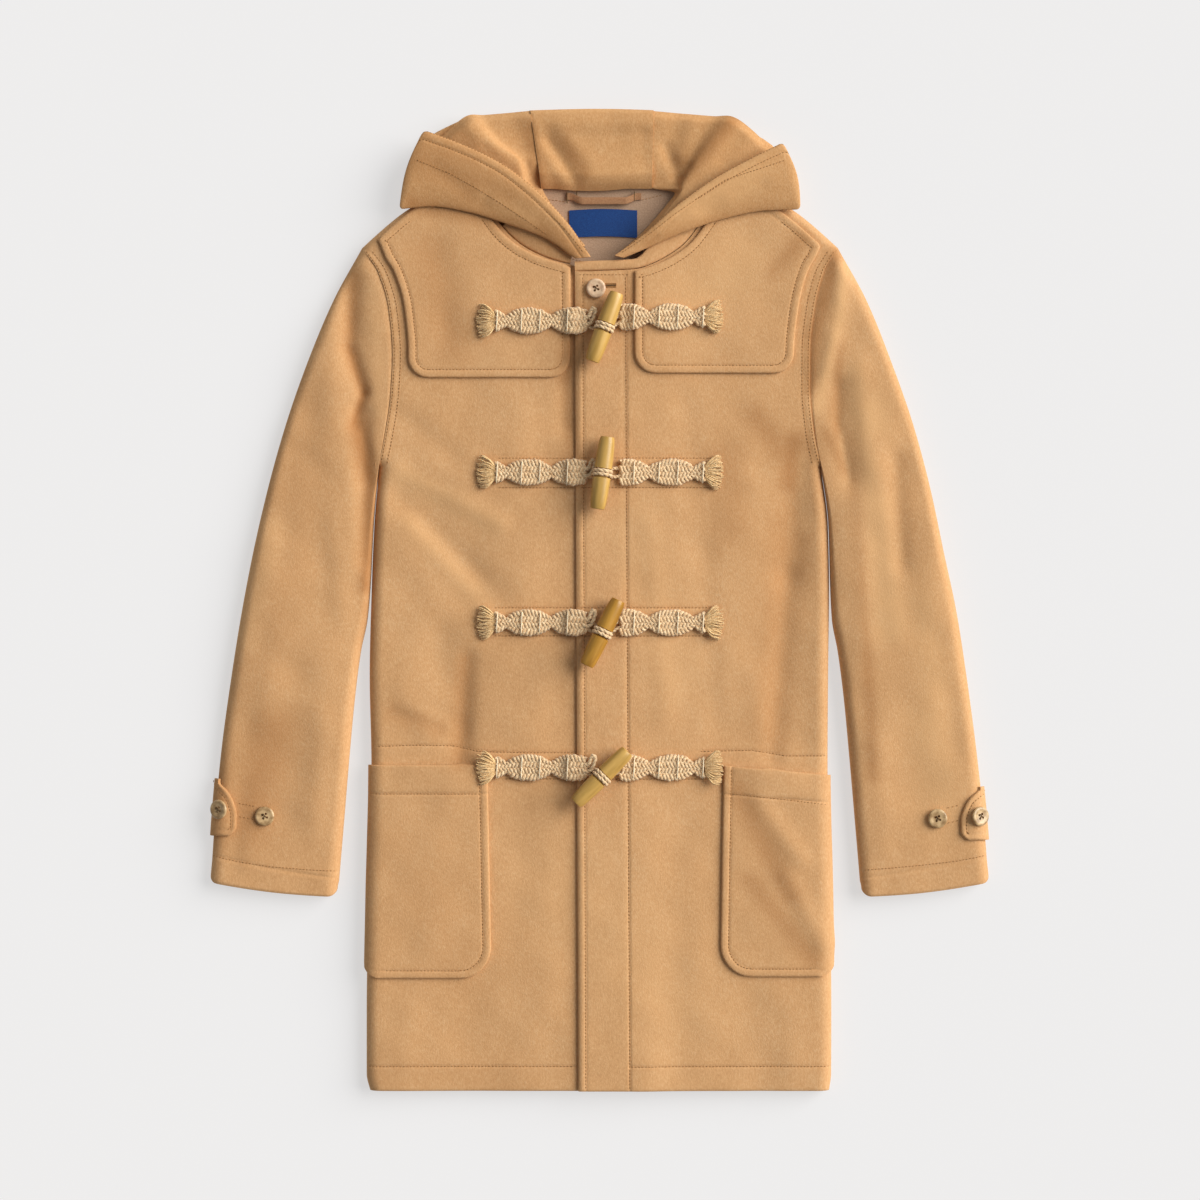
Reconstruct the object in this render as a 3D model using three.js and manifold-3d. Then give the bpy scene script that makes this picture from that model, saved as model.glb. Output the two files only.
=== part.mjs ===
// A boy's hooded duffle coat laid face up on a flat surface, in millimetres.
// +Z is up from the surface, +Y runs from hem to hood, and -X is the left of the coat as seen from above.
// Every cloth piece is a closed wall: an outer grid of points and the same grid moved in by the cloth's thickness.
import * as THREE from 'three';
import { mergeVertices } from 'three/addons/utils/BufferGeometryUtils.js';
import Module from 'manifold-3d';

const wasm = await Module();
wasm.setup();

// Driving sizes of the cloth and of how it lies.
const CLOTH = 3;            // melton wall
const PATCH = 2.4;          // wall of the shoulder patches, pockets and tabs
const GAP = 0.3;            // air between pieces that are sewn together
const LIFT = 0.55;          // air under a piece that lies on a panel
const TOP = 15;             // height of the fronts' outer face
const SEAM = 7;             // height of the side, shoulder and sleeve seams round the folded edges
const ROLL = 10;            // width over which a folded edge turns down
const LAP = 3.6;            // how far the lapped front stands over the one under it
const HEM_Y = -392.5;
const ARMPIT_Y = 106;
const TIP_Y = 281.8;        // outer end of the shoulder line
const CUFF_Y = { outer: -226, inner: -237.5 };

// Half widths at the folded edges, for the left and the right of the coat.
const SIDE_EDGE = [
  { y: -392.5, left: 184.2, right: 183.6 },
  { y: -380, left: 187, right: 185.2 },
  { y: -330, left: 187, right: 185.4 },
  { y: -240, left: 185.6, right: 184.6 },
  { y: -131, left: 183.2, right: 182.4 },
  { y: -61, left: 184.6, right: 182.8 },
  { y: 10, left: 182.9, right: 183.6 },
  { y: 60, left: 180.8, right: 182.6 },
  { y: 106, left: 177, right: 177 },
];
const ARMHOLE = [
  { y: 106, left: 177, right: 177 },
  { y: 135, left: 171.4, right: 171 },
  { y: 167, left: 167, right: 168 },
  { y: 197, left: 165.7, right: 168 },
  { y: 232, left: 168.6, right: 171.4 },
  { y: 262, left: 177.1, right: 178.8 },
  { y: 281.8, left: 190.7, right: 190.7 },
];
const SHOULDER = [
  { y: 281.8, left: 190.7, right: 190.7 },
  { y: 290.4, left: 181.4, right: 181.4 },
  { y: 304, left: 165.7, right: 165.7 },
  { y: 312, left: 155, right: 155 },
  { y: 320, left: 141, right: 141 },
  { y: 327, left: 123, right: 123 },
  { y: 332, left: 106, right: 106 },
  { y: 334, left: 97, right: 97 },
];
const SLEEVE_OUTER = [
  { y: 281.8, left: 190.7, right: 190.7 },
  { y: 240, left: 213.6, right: 213.6 },
  { y: 190, left: 234.6, right: 233.8 },
  { y: 140, left: 252, right: 251.2 },
  { y: 90, left: 266, right: 264.6 },
  { y: 40, left: 277.6, right: 275.2 },
  { y: -10, left: 287.2, right: 285.8 },
  { y: -60, left: 295.2, right: 293.6 },
  { y: -120, left: 303.4, right: 301.6 },
  { y: -170, left: 308.2, right: 307 },
  { y: -226, left: 312, right: 311.4 },
];
const SLEEVE_INNER = [
  { y: 106, left: 177, right: 177 },
  { y: 60, left: 180.8, right: 182.6 },
  { y: 10, left: 183.4, right: 184 },
  { y: -16, left: 185.8, right: 185.4 },
  { y: -41, left: 191, right: 190 },
  { y: -80, left: 196, right: 195 },
  { y: -120, left: 199.8, right: 198.8 },
  { y: -180, left: 204.8, right: 204 },
  { y: -237.5, left: 209.7, right: 208.9 },
];
// The front neck seam, from the lap up to the shoulder. A negative half width is past the centre line.
const NECK_SEAM = [
  { y: 262, left: -18, right: -20 },
  { y: 264, left: 8, right: 28 },
  { y: 268, left: 24, right: 41 },
  { y: 274, left: 44, right: 53 },
  { y: 284, left: 63, right: 67 },
  { y: 297, left: 77, right: 77.6 },
  { y: 312, left: 87, right: 87 },
  { y: 334, left: 94, right: 94 },
];
// The lap: the edge of each front below the neck seam.
const LAP_EDGE = [
  { y: -392.5, left: -18, right: -17.2 },
  { y: 262, left: -18, right: -20 },
];

// Large soft folds of the fronts and sleeves: each is a trough or ridge along a line.
const FOLDS = [
  { x1: -201, y1: 245, x2: -192, y2: 150, width: 13, depth: -3 },
  { x1: -194, y1: 135, x2: -186, y2: 95, width: 9, depth: -2 },
  { x1: -232, y1: 150, x2: -222, y2: 30, width: 20, depth: -2.2 },
  { x1: -262, y1: 40, x2: -276, y2: -60, width: 16, depth: 1.6 },
  { x1: -240, y1: -60, x2: -252, y2: -170, width: 18, depth: -1.8 },
  { x1: 194, y1: 262, x2: 183, y2: 185, width: 9, depth: 1.8 },
  { x1: 192, y1: 170, x2: 200, y2: 95, width: 12, depth: -2.8 },
  { x1: 228, y1: 120, x2: 232, y2: -20, width: 22, depth: -2.4 },
  { x1: 262, y1: 60, x2: 278, y2: -50, width: 16, depth: 1.6 },
  { x1: 240, y1: -60, x2: 250, y2: -150, width: 18, depth: -1.6 },
  { x1: -150, y1: 92, x2: -96, y2: 10, width: 20, depth: -1.8 },
  { x1: -70, y1: 150, x2: -62, y2: -90, width: 24, depth: 1.2 },
  { x1: -128, y1: -30, x2: -112, y2: -112, width: 15, depth: -1.8 },
  { x1: 152, y1: 100, x2: 158, y2: -110, width: 20, depth: -2.8 },
  { x1: 108, y1: 130, x2: 96, y2: -80, width: 22, depth: 1.3 },
  { x1: -110, y1: -320, x2: -96, y2: -385, width: 24, depth: -1.6 },
  { x1: 60, y1: -170, x2: 62, y2: -380, width: 20, depth: -1.4 },
];

const side = (name) => (name === 'left' ? -1 : 1);
const lerp = THREE.MathUtils.lerp;
const smooth = THREE.MathUtils.smoothstep;

// Reads one column of a table at a place between its rows, along a smooth curve through them.
function readTable(rows, key, at, column) {
  const last = rows.length - 1;
  let i = 0;
  while (i < last - 1 && (at - rows[i + 1][key]) * (rows[last][key] - rows[0][key]) > 0) {
    i += 1;
  }
  const slope = (a, b) => (rows[b][column] - rows[a][column]) / (rows[b][key] - rows[a][key]);
  const tangent = (n) => {
    if (n === 0) return slope(0, 1);
    if (n === last) return slope(last - 1, last);
    const before = slope(n - 1, n);
    const after = slope(n, n + 1);
    return before * after <= 0 ? 0 : (2 * before * after) / (before + after);
  };
  const span = rows[i + 1][key] - rows[i][key];
  const t = THREE.MathUtils.clamp((at - rows[i][key]) / span, 0, 1);
  const t2 = t * t;
  const t3 = t2 * t;
  return (2 * t3 - 3 * t2 + 1) * rows[i][column] + (t3 - 2 * t2 + t) * span * tangent(i)
    + (3 * t2 - 2 * t3) * rows[i + 1][column] + (t3 - t2) * span * tangent(i + 1);
}

// Half width of the body at a height: its side fold, then the armhole, then the shoulder line.
function reach(name, y) {
  if (y <= ARMPIT_Y) return readTable(SIDE_EDGE, 'y', y, name);
  if (y <= TIP_Y) return readTable(ARMHOLE, 'y', y, name);
  return readTable(SHOULDER, 'y', y, name);
}

// How far a point of the body is from the folded edge nearest to it.
function foldDistance(name, halfX, y) {
  if (y <= ARMPIT_Y || y >= TIP_Y) return Math.max(0, reach(name, y) - halfX);
  const pit = Math.hypot(Math.max(0, reach(name, ARMPIT_Y) - halfX), y - ARMPIT_Y);
  const tip = Math.hypot(Math.max(0, reach(name, TIP_Y) - halfX), TIP_Y - y);
  return Math.min(pit, tip);
}

// Share of the full height at a distance from a folded edge: a quarter of an ellipse.
function rollShare(distance, width = ROLL) {
  const rest = 1 - Math.min(1, Math.max(0, distance) / width);
  return Math.sqrt(1 - rest * rest);
}

// Height of the cloth's outer face with its large folds, away from any folded edge.
function clothHeight(x, y) {
  let height = TOP;
  for (const fold of FOLDS) {
    const dx = fold.x2 - fold.x1;
    const dy = fold.y2 - fold.y1;
    const along = THREE.MathUtils.clamp(((x - fold.x1) * dx + (y - fold.y1) * dy) / (dx * dx + dy * dy), 0, 1);
    const away = Math.hypot(x - fold.x1 - along * dx, y - fold.y1 - along * dy) / fold.width;
    height += fold.depth * Math.exp(-away * away);
  }
  return height;
}

// The lapped front stands up over the front under it, from its free edge to the stitch line at its far side.
const LAP_RISE = { from: 24, to: 44 };
function lapHeight(x) {
  return LAP * (1 - smooth(x, LAP_RISE.from, LAP_RISE.to));
}

function frontHeight(name, halfX, y) {
  const x = side(name) * halfX;
  const full = clothHeight(x, y) + (name === 'right' ? lapHeight(x) : 0);
  return SEAM + GAP / 2 + (full - SEAM) * rollShare(foldDistance(name, halfX, y));
}

function backHeight(name, halfX, y) {
  return (SEAM - GAP / 2) * (1 - rollShare(foldDistance(name, halfX, y)));
}

// The slope of a body face, as its outward normal. Past the edge it is read just inside it.
const SLOPE_STEP = 0.4;
function bodyNormal(name, halfX, y, height) {
  const x = Math.min(halfX, reach(name, y) - SLOPE_STEP);
  const dx = (height(name, x + SLOPE_STEP, y) - height(name, x - SLOPE_STEP, y)) / (2 * SLOPE_STEP);
  const edgeSlope = halfX > x ? (height(name, halfX, y) - height(name, x, y)) / SLOPE_STEP : dx;
  const dy = (height(name, x, y + SLOPE_STEP) - height(name, x, y - SLOPE_STEP)) / (2 * SLOPE_STEP);
  const up = height === backHeight ? -1 : 1;
  return new THREE.Vector3(-up * side(name) * edgeSlope, -up * dy, up).normalize();
}

// Places from a folded edge inwards where its turn is cut into equal angles.
const TURNS = 3;
const turnPlaces = Array.from({ length: TURNS }, (_, i) => ROLL * (1 - Math.cos((i * Math.PI) / 2 / TURNS)));

// Stations between two folded ends: close together in each turn and even between the turns.
function stations(from, to, middle) {
  const way = Math.sign(to - from);
  const start = turnPlaces.map((d) => from + way * d);
  const end = turnPlaces.map((d) => to - way * d).reverse();
  const between = Array.from({ length: middle + 1 },
    (_, i) => lerp(from + way * ROLL, to - way * ROLL, i / middle));
  return [...start, ...between, ...end];
}

function steps(from, to, count) {
  return Array.from({ length: count }, (_, i) => lerp(from, to, i / count));
}

const ARMHOLE_ROWS = stations(ARMPIT_Y, TIP_Y, 4);
const BODY_ROWS = [HEM_Y, ...steps(HEM_Y + 12, ARMPIT_Y, 11), ...ARMHOLE_ROWS];
const BACK_ROWS = [HEM_Y, ...steps(HEM_Y + 12, ARMPIT_Y, 7), ...ARMHOLE_ROWS];
const SHOULDER_ROWS = [288, 295, 303, 312, 322, 332];
const NECK_ROWS = [262, 264, 268, 274];

// Unit normals of a grid from its neighbours, turned to the side that `outward` names at the grid's middle.
function gridNormals(grid, ring, outward) {
  const rows = grid.length;
  const cols = grid[0].length;
  const normals = grid.map((row, r) => row.map((_, c) => {
    const left = ring ? (c + cols - 1) % cols : Math.max(0, c - 1);
    const right = ring ? (c + 1) % cols : Math.min(cols - 1, c + 1);
    const across = grid[r][right].clone().sub(grid[r][left]);
    const along = grid[Math.min(rows - 1, r + 1)][c].clone().sub(grid[Math.max(0, r - 1)][c]);
    return across.cross(along).normalize();
  }));
  const probe = normals[rows >> 1][ring ? 0 : cols >> 1];
  const turn = probe.dot(outward(grid[rows >> 1][ring ? 0 : cols >> 1])) < 0 ? -1 : 1;
  return normals.map((row) => row.map((n) => n.multiplyScalar(turn)));
}

const upwards = () => new THREE.Vector3(0, 0, 1);

function moved(grid, distance, ring = false, outward = upwards) {
  const normals = gridNormals(grid, ring, outward);
  return grid.map((row, r) => row.map((p, c) => p.clone().addScaledVector(normals[r][c], distance)));
}

// A closed wall between an outer and an inner grid. A ring's columns run round and meet.
function wall(outer, inner, ring = false) {
  const rows = outer.length;
  const cols = outer[0].length;
  const points = [...outer.flat(), ...inner.flat()];
  const index = (layer, r, c) => layer * rows * cols + r * cols + (c % cols);
  const faces = [];
  const quad = (a, b, c, d) => faces.push(a, b, c, a, c, d);
  const spans = ring ? cols : cols - 1;
  for (let r = 0; r < rows - 1; r += 1) {
    for (let c = 0; c < spans; c += 1) {
      quad(index(0, r, c), index(0, r, c + 1), index(0, r + 1, c + 1), index(0, r + 1, c));
      quad(index(1, r, c), index(1, r + 1, c), index(1, r + 1, c + 1), index(1, r, c + 1));
    }
  }
  for (let c = 0; c < spans; c += 1) {
    quad(index(0, 0, c + 1), index(0, 0, c), index(1, 0, c), index(1, 0, c + 1));
    quad(index(0, rows - 1, c), index(0, rows - 1, c + 1), index(1, rows - 1, c + 1), index(1, rows - 1, c));
  }
  for (let r = 0; r < rows - 1 && !ring; r += 1) {
    quad(index(0, r, 0), index(0, r + 1, 0), index(1, r + 1, 0), index(1, r, 0));
    quad(index(0, r + 1, cols - 1), index(0, r, cols - 1), index(1, r, cols - 1), index(1, r + 1, cols - 1));
  }
  return outwardGeometry(points, faces);
}

// A wall whose inner grid lies straight below its outer one.
function slab(grid, thickness) {
  return wall(grid, grid.map((row) => row.map((p) => new THREE.Vector3(p.x, p.y, p.z - thickness))));
}

// A solid through closed rings of points, with a flat cap on its first and last ring.
function loft(rings) {
  const cols = rings[0].length;
  const points = rings.flat();
  const faces = [];
  for (let r = 0; r < rings.length - 1; r += 1) {
    for (let c = 0; c < cols; c += 1) {
      const a = r * cols + c;
      const b = r * cols + ((c + 1) % cols);
      faces.push(a, b, b + cols, a, b + cols, a + cols);
    }
  }
  [0, rings.length - 1].forEach((r) => {
    const middle = rings[r].reduce((sum, p) => sum.add(p), new THREE.Vector3()).divideScalar(cols);
    const hub = points.push(middle) - 1;
    for (let c = 0; c < cols; c += 1) {
      const a = r * cols + c;
      const b = r * cols + ((c + 1) % cols);
      faces.push(...(r === 0 ? [hub, b, a] : [hub, a, b]));
    }
  });
  return outwardGeometry(points, faces);
}

function outwardGeometry(points, faces) {
  const volume = faces.reduce((sum, _, i) => (i % 3 ? sum
    : sum + points[faces[i]].dot(points[faces[i + 1]].clone().cross(points[faces[i + 2]]))), 0);
  if (volume < 0) faces.reverse();
  const geometry = new THREE.BufferGeometry();
  geometry.setAttribute('position', new THREE.Float32BufferAttribute(points.flatMap((p) => [p.x, p.y, p.z]), 3));
  geometry.setIndex(faces);
  return geometry;
}

// Booleans on closed geometries.
function toSolid(geometry) {
  const bare = geometry.clone();
  bare.deleteAttribute('normal');
  bare.deleteAttribute('uv');
  const merged = mergeVertices(bare, 1e-4);
  return new wasm.Manifold(new wasm.Mesh({
    numProp: 3,
    vertProperties: new Float32Array(merged.attributes.position.array),
    triVerts: new Uint32Array(merged.index.array),
  }));
}

function fromSolid(solid) {
  const mesh = solid.getMesh();
  const geometry = new THREE.BufferGeometry();
  geometry.setAttribute('position', new THREE.BufferAttribute(new Float32Array(mesh.vertProperties), 3));
  geometry.setIndex(Array.from(mesh.triVerts));
  return geometry;
}

const MELTON = { color: 0xcda069, roughness: 0.95, metalness: 0 };
const LINING = { color: 0xb4937a, roughness: 0.7, metalness: 0 };
const RIBBON = { color: 0x1f3f7a, roughness: 0.6, metalness: 0 };
const BRAID = { color: 0xdec49b, roughness: 0.9, metalness: 0 };
const HORN = { color: 0xc8a54b, roughness: 0.35, metalness: 0 };
const BUTTON = { color: 0xb9a078, roughness: 0.35, metalness: 0 };

const coat = new THREE.Group();

function add(name, geometry, finish) {
  const mesh = new THREE.Mesh(geometry, new THREE.MeshStandardMaterial(finish));
  mesh.name = name;
  coat.add(mesh);
  return mesh;
}

// The armhole is one loop: over the front's edge and back under the back's. This moves a point of it inwards,
// within the seam's own surface, so that the body's edge and the sleeve's end lie face to face.
function throughArmhole(name, y, height, inset) {
  const before = Math.max(ARMPIT_Y, y - 0.8);
  const after = Math.min(TIP_Y, y + 0.8);
  const slope = (height(name, reach(name, after), after) - height(name, reach(name, before), before))
    / (after - before);
  const under = height === backHeight ? -1 : 1;
  const length = Math.hypot(1, slope);
  let dy = (under * slope * CLOTH) / length;
  let dz = (-under * CLOTH) / length;
  if (y === ARMPIT_Y || y === TIP_Y) {
    dy = y === ARMPIT_Y ? CLOTH : -CLOTH;
    dz = under * 0.2;
  }
  const inY = y + dy;
  const z = height(name, reach(name, y), y) + dz;
  return new THREE.Vector3(side(name) * (reach(name, inY) + inset), inY, z);
}

// Half widths of one row of a body panel: fixed columns, crowded where the neck or the shoulder cuts in, and
// then the turn at the folded edge.
function rowPlaces(name, y, inner, columns) {
  const outer = reach(name, y);
  const turn = Math.min(1, ((outer - inner) * 0.6) / ROLL);
  const end = outer - ROLL * turn;
  const count = columns.length;
  const least = Math.min(2, (end - inner) / count);
  const flat = columns.map((place, i) => {
    const low = inner + i * least;
    return i === 0 ? inner : Math.min(Math.max(place, low), end - (count - i) * least);
  });
  return [...flat, end, ...turnPlaces.slice().reverse().map((d) => outer - d * turn)];
}

function bodyPoint(name, halfX, y, height) {
  return new THREE.Vector3(side(name) * halfX, y, height(name, halfX, y));
}

// The inner grid of a body panel: moved in by the cloth, level at a folded edge, and along the seam at the armhole.
function bodyInside(name, outer, height) {
  return outer.map((row) => row.map((p, c) => {
    const halfX = side(name) * p.x;
    if (c < row.length - 1) {
      return p.clone().addScaledVector(bodyNormal(name, halfX, p.y, height), -CLOTH);
    }
    if (p.y >= ARMPIT_Y && p.y <= TIP_Y) return throughArmhole(name, p.y, height, 0);
    return new THREE.Vector3(p.x - side(name) * CLOTH, p.y, p.z);
  }));
}

const FRONT_COLUMNS = {
  left: [-18, 2, 22, 46, 71, 96, 121, 147],
  right: [-18, 2, 24, 34, 44, 70, 96, 121, 147],
};
const FRONT_NECK_ROWS = [...NECK_ROWS, ...BODY_ROWS.filter((y) => y > NECK_ROWS[3] + 1), ...SHOULDER_ROWS];
function front(name) {
  const rows = [...BODY_ROWS.filter((y) => y < NECK_ROWS[0] - 3), ...FRONT_NECK_ROWS];
  const outer = rows.map((y) => {
    const inner = readTable(y < NECK_SEAM[0].y ? LAP_EDGE : NECK_SEAM, 'y', y, name);
    const places = rowPlaces(name, y, inner, FRONT_COLUMNS[name]);
    return places.map((halfX) => bodyPoint(name, halfX, y, frontHeight));
  });
  return wall(outer, bodyInside(name, outer, frontHeight));
}

// The back lies flat and turns up at its sides and shoulders. Its top rows bend to the shoulder and neck line.
const BACK_TOP = { edgeY: 320, neckY: 331, neckHalf: 94, rows: 4 };
function backTopY(x) {
  const half = Math.abs(x);
  if (half < BACK_TOP.neckHalf) {
    return lerp(BACK_TOP.neckY, 334, (half / BACK_TOP.neckHalf) ** 2);
  }
  const line = SHOULDER.map((row) => ({ x: row.left, y: row.y })).reverse();
  return readTable([{ x: BACK_TOP.neckHalf, y: 334.4 }, ...line], 'x', half, 'y');
}

const BACK_COLUMNS = [0, 80, 120];
function backHalf(name) {
  const outer = BACK_ROWS.map((y) => rowPlaces(name, y, 0, BACK_COLUMNS)
    .map((halfX) => bodyPoint(name, halfX, y, backHeight)));
  const inner = bodyInside(name, outer, backHeight);
  const edge = reach(name, BACK_TOP.edgeY);
  for (let i = 1; i <= BACK_TOP.rows; i += 1) {
    const share = i / BACK_TOP.rows;
    const y = lerp(TIP_Y, BACK_TOP.edgeY, share);
    const places = rowPlaces(name, y, 0, BACK_COLUMNS);
    const bent = places.map((halfX) => y + share * (backTopY((halfX / reach(name, y)) * edge) - BACK_TOP.edgeY));
    const heights = places.map((halfX, c) => {
      const away = halfX > BACK_TOP.neckHalf ? backTopY(halfX) - bent[c] : ROLL;
      return (SEAM - GAP / 2) * (1 - rollShare(Math.min(away, reach(name, y) - halfX)));
    });
    outer.push(places.map((halfX, c) => new THREE.Vector3(side(name) * halfX, bent[c], heights[c])));
    inner.push(places.map((halfX, c) => {
      const turned = 1 - Math.sqrt(Math.max(0, 1 - (heights[c] / SEAM) ** 2));
      const draw = CLOTH * (heights[c] / SEAM) * (halfX > BACK_TOP.neckHalf ? 1 : 0);
      const atEnd = i === BACK_TOP.rows && halfX > BACK_TOP.neckHalf;
      const z = atEnd || c === places.length - 1 ? heights[c] : heights[c] + CLOTH * (1 - turned);
      return new THREE.Vector3(side(name) * (halfX - draw), bent[c] - draw * 0.7, Math.min(z, SEAM - GAP / 2));
    }));
  }
  return { outer, inner };
}

function back() {
  const left = backHalf('left');
  const right = backHalf('right');
  const join = (a, b) => a.map((row, r) => [...row.slice(1).reverse(), ...b[r]]);
  return wall(join(left.outer, right.outer), join(left.inner, right.inner));
}

// A sleeve is a flattened tube: each ring goes over the top from its outer to its inner fold and back beneath.
const SLEEVE_RINGS = 14;
const SLEEVE_GAP = 0.45;
function sleeveRing(name, share) {
  const outerY = lerp(TIP_Y, CUFF_Y.outer, share);
  const innerY = lerp(ARMPIT_Y, CUFF_Y.inner, share);
  const from = new THREE.Vector2(readTable(SLEEVE_OUTER, 'y', outerY, name), outerY);
  const to = new THREE.Vector2(readTable(SLEEVE_INNER, 'y', innerY, name) + SLEEVE_GAP, innerY);
  const length = from.distanceTo(to);
  const bend = Math.max(0, 1 - share / 0.4) ** 2;
  const sag = smooth(share, 0.85, 1) * 2.2;
  const seamRows = ARMHOLE_ROWS.slice().reverse();
  const plan = share === 0 ? null : stations(0, length, 4);
  return seamRows.map((seamY, i) => {
    const seamX = reach(name, seamY) + GAP;
    if (!plan) return { x: seamX, y: seamY, away: null };
    const w = plan[i] / length;
    const chordX = lerp(from.x, to.x, w);
    const chordY = lerp(from.y, to.y, w) - sag * Math.sin(Math.PI * w);
    const seamChord = lerp(reach(name, TIP_Y), reach(name, ARMPIT_Y), (TIP_Y - seamY) / (TIP_Y - ARMPIT_Y));
    const away = Math.min(plan[i], length - plan[i]);
    return { x: chordX + bend * (seamX - GAP - seamChord), y: chordY, away };
  });
}

function sleeveGrid(name) {
  const rings = Array.from({ length: SLEEVE_RINGS + 1 }, (_, k) => sleeveRing(name, k / SLEEVE_RINGS));
  return rings.map((ring) => {
    const over = ring.map((p) => {
      const x = side(name) * p.x;
      const share = p.away === null ? null : rollShare(p.away);
      const z = share === null ? frontHeight(name, p.x - GAP, p.y)
        : SEAM + GAP / 2 + (clothHeight(x, p.y) - SEAM) * share;
      return new THREE.Vector3(x, p.y, z);
    });
    const under = ring.map((p) => {
      const z = p.away === null ? backHeight(name, p.x - GAP, p.y)
        : (SEAM - GAP / 2) * (1 - rollShare(p.away));
      return new THREE.Vector3(side(name) * p.x, p.y, z);
    });
    return [...over, ...under.reverse()];
  });
}

function sleeve(name) {
  const outer = sleeveGrid(name);
  const cols = outer[0].length;
  const middle = (p) => new THREE.Vector3(0, 0, p.z > SEAM ? 1 : -1);
  const inner = moved(outer, -CLOTH, true, middle);
  outer[0].forEach((p, c) => {
    const height = c < cols / 2 ? frontHeight : backHeight;
    inner[0][c] = throughArmhole(name, p.y, height, GAP);
  });
  return wall(outer, inner, true);
}

// A patch that lies on a front: rows of places, each moved out along the front's own slope.
function patch(name, rows) {
  const grid = (distance) => rows.map((row) => row.map(({ halfX, y, raise = 0, shift = 0 }) => {
    const place = bodyPoint(name, halfX, y, frontHeight);
    place.addScaledVector(bodyNormal(name, halfX, y, frontHeight), distance + raise);
    place.y += shift;
    return place;
  }));
  return wall(grid(LIFT + PATCH), grid(LIFT));
}

// How far an edge draws in at a distance from a rounded corner of the given radius.
function cornerInset(distance, radius) {
  return radius - Math.sqrt(Math.max(0, radius * radius - (radius - Math.min(distance, radius)) ** 2));
}

const CORNER_STEPS = [0, 0.05, 0.2, 0.5, 1];

const YOKES = {
  left: { inner: 23.5, bottom: 177.6, corner: 17, seam: 7, columns: [23.5, 46, 71, 96, 121] },
  right: { inner: 27.6, bottom: 181, corner: 17, seam: 13, columns: [27.6, 34, 44, 70, 96, 121] },
};
const YOKE_INSET = 12.5;    // from the armhole to the shoulder patch's edge
const YOKE_TOP = 324;
function yoke(name) {
  const { inner, bottom, corner, seam, columns } = YOKES[name];
  const corners = CORNER_STEPS.map((s) => bottom + corner * s);
  const rows = [...corners, ...steps(bottom + corner + 20, 262, 3), 262, 268, 274, 283, 291, 303, 314, YOKE_TOP];
  return patch(name, rows.map((y) => {
    const draw = cornerInset(y - bottom, corner);
    const neck = y > 264 ? readTable(NECK_SEAM, 'y', y, name) + 4 : inner;
    const from = Math.max(inner, neck) + draw;
    const full = reach(name, Math.min(y, 272)) - YOKE_INSET + 0.4 * Math.max(0, y - 272);
    const to = Math.min(full, reach(name, y) - seam) - draw;
    const least = Math.min(2, (to - from) / columns.length);
    const places = columns.map((place, i) => {
      const low = from + i * least;
      return i === 0 ? from : Math.min(Math.max(place, low), to - (columns.length - i) * least);
    });
    return [...places, to].map((halfX) => ({ halfX, y }));
  }));
}

const POCKETS = {
  left: { top: -131.8, bottom: -302.4, innerTop: 89.8, innerBottom: 86.4, slant: 0 },
  right: { top: -132, bottom: -301, innerTop: 98.6, innerBottom: 95.8, slant: -8 },
};
const POCKET_CORNER = 26;
const POCKET_MOUTH = { gape: 1.6, depth: 30 };
function pocket(name) {
  const { top, bottom, innerTop, innerBottom, slant } = POCKETS[name];
  const rows = [...CORNER_STEPS.map((s) => bottom + POCKET_CORNER * s), ...steps(-248, -146, 3), -146, top];
  return patch(name, rows.map((y) => {
    const across = (y - bottom) / (top - bottom);
    const from = lerp(innerBottom, innerTop, across) + cornerInset(y - bottom, POCKET_CORNER);
    const outside = cornerInset(y - bottom, 12);
    const edge = reach(name, y) - outside;
    const turned = [...turnPlaces.slice(1).reverse(), 0.2].map((d) => edge - d);
    return [...steps(from, edge - ROLL, 5), edge - ROLL, ...turned].map((halfX) => {
      const share = (halfX - from) / (edge - from);
      const mouth = Math.max(0, 1 - (top - y) / POCKET_MOUTH.depth) * Math.sin(Math.PI * Math.min(1, share * 1.2));
      return { halfX, y, raise: Math.max(0, mouth) * POCKET_MOUTH.gape, shift: slant * share * across };
    });
  }));
}

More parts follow.
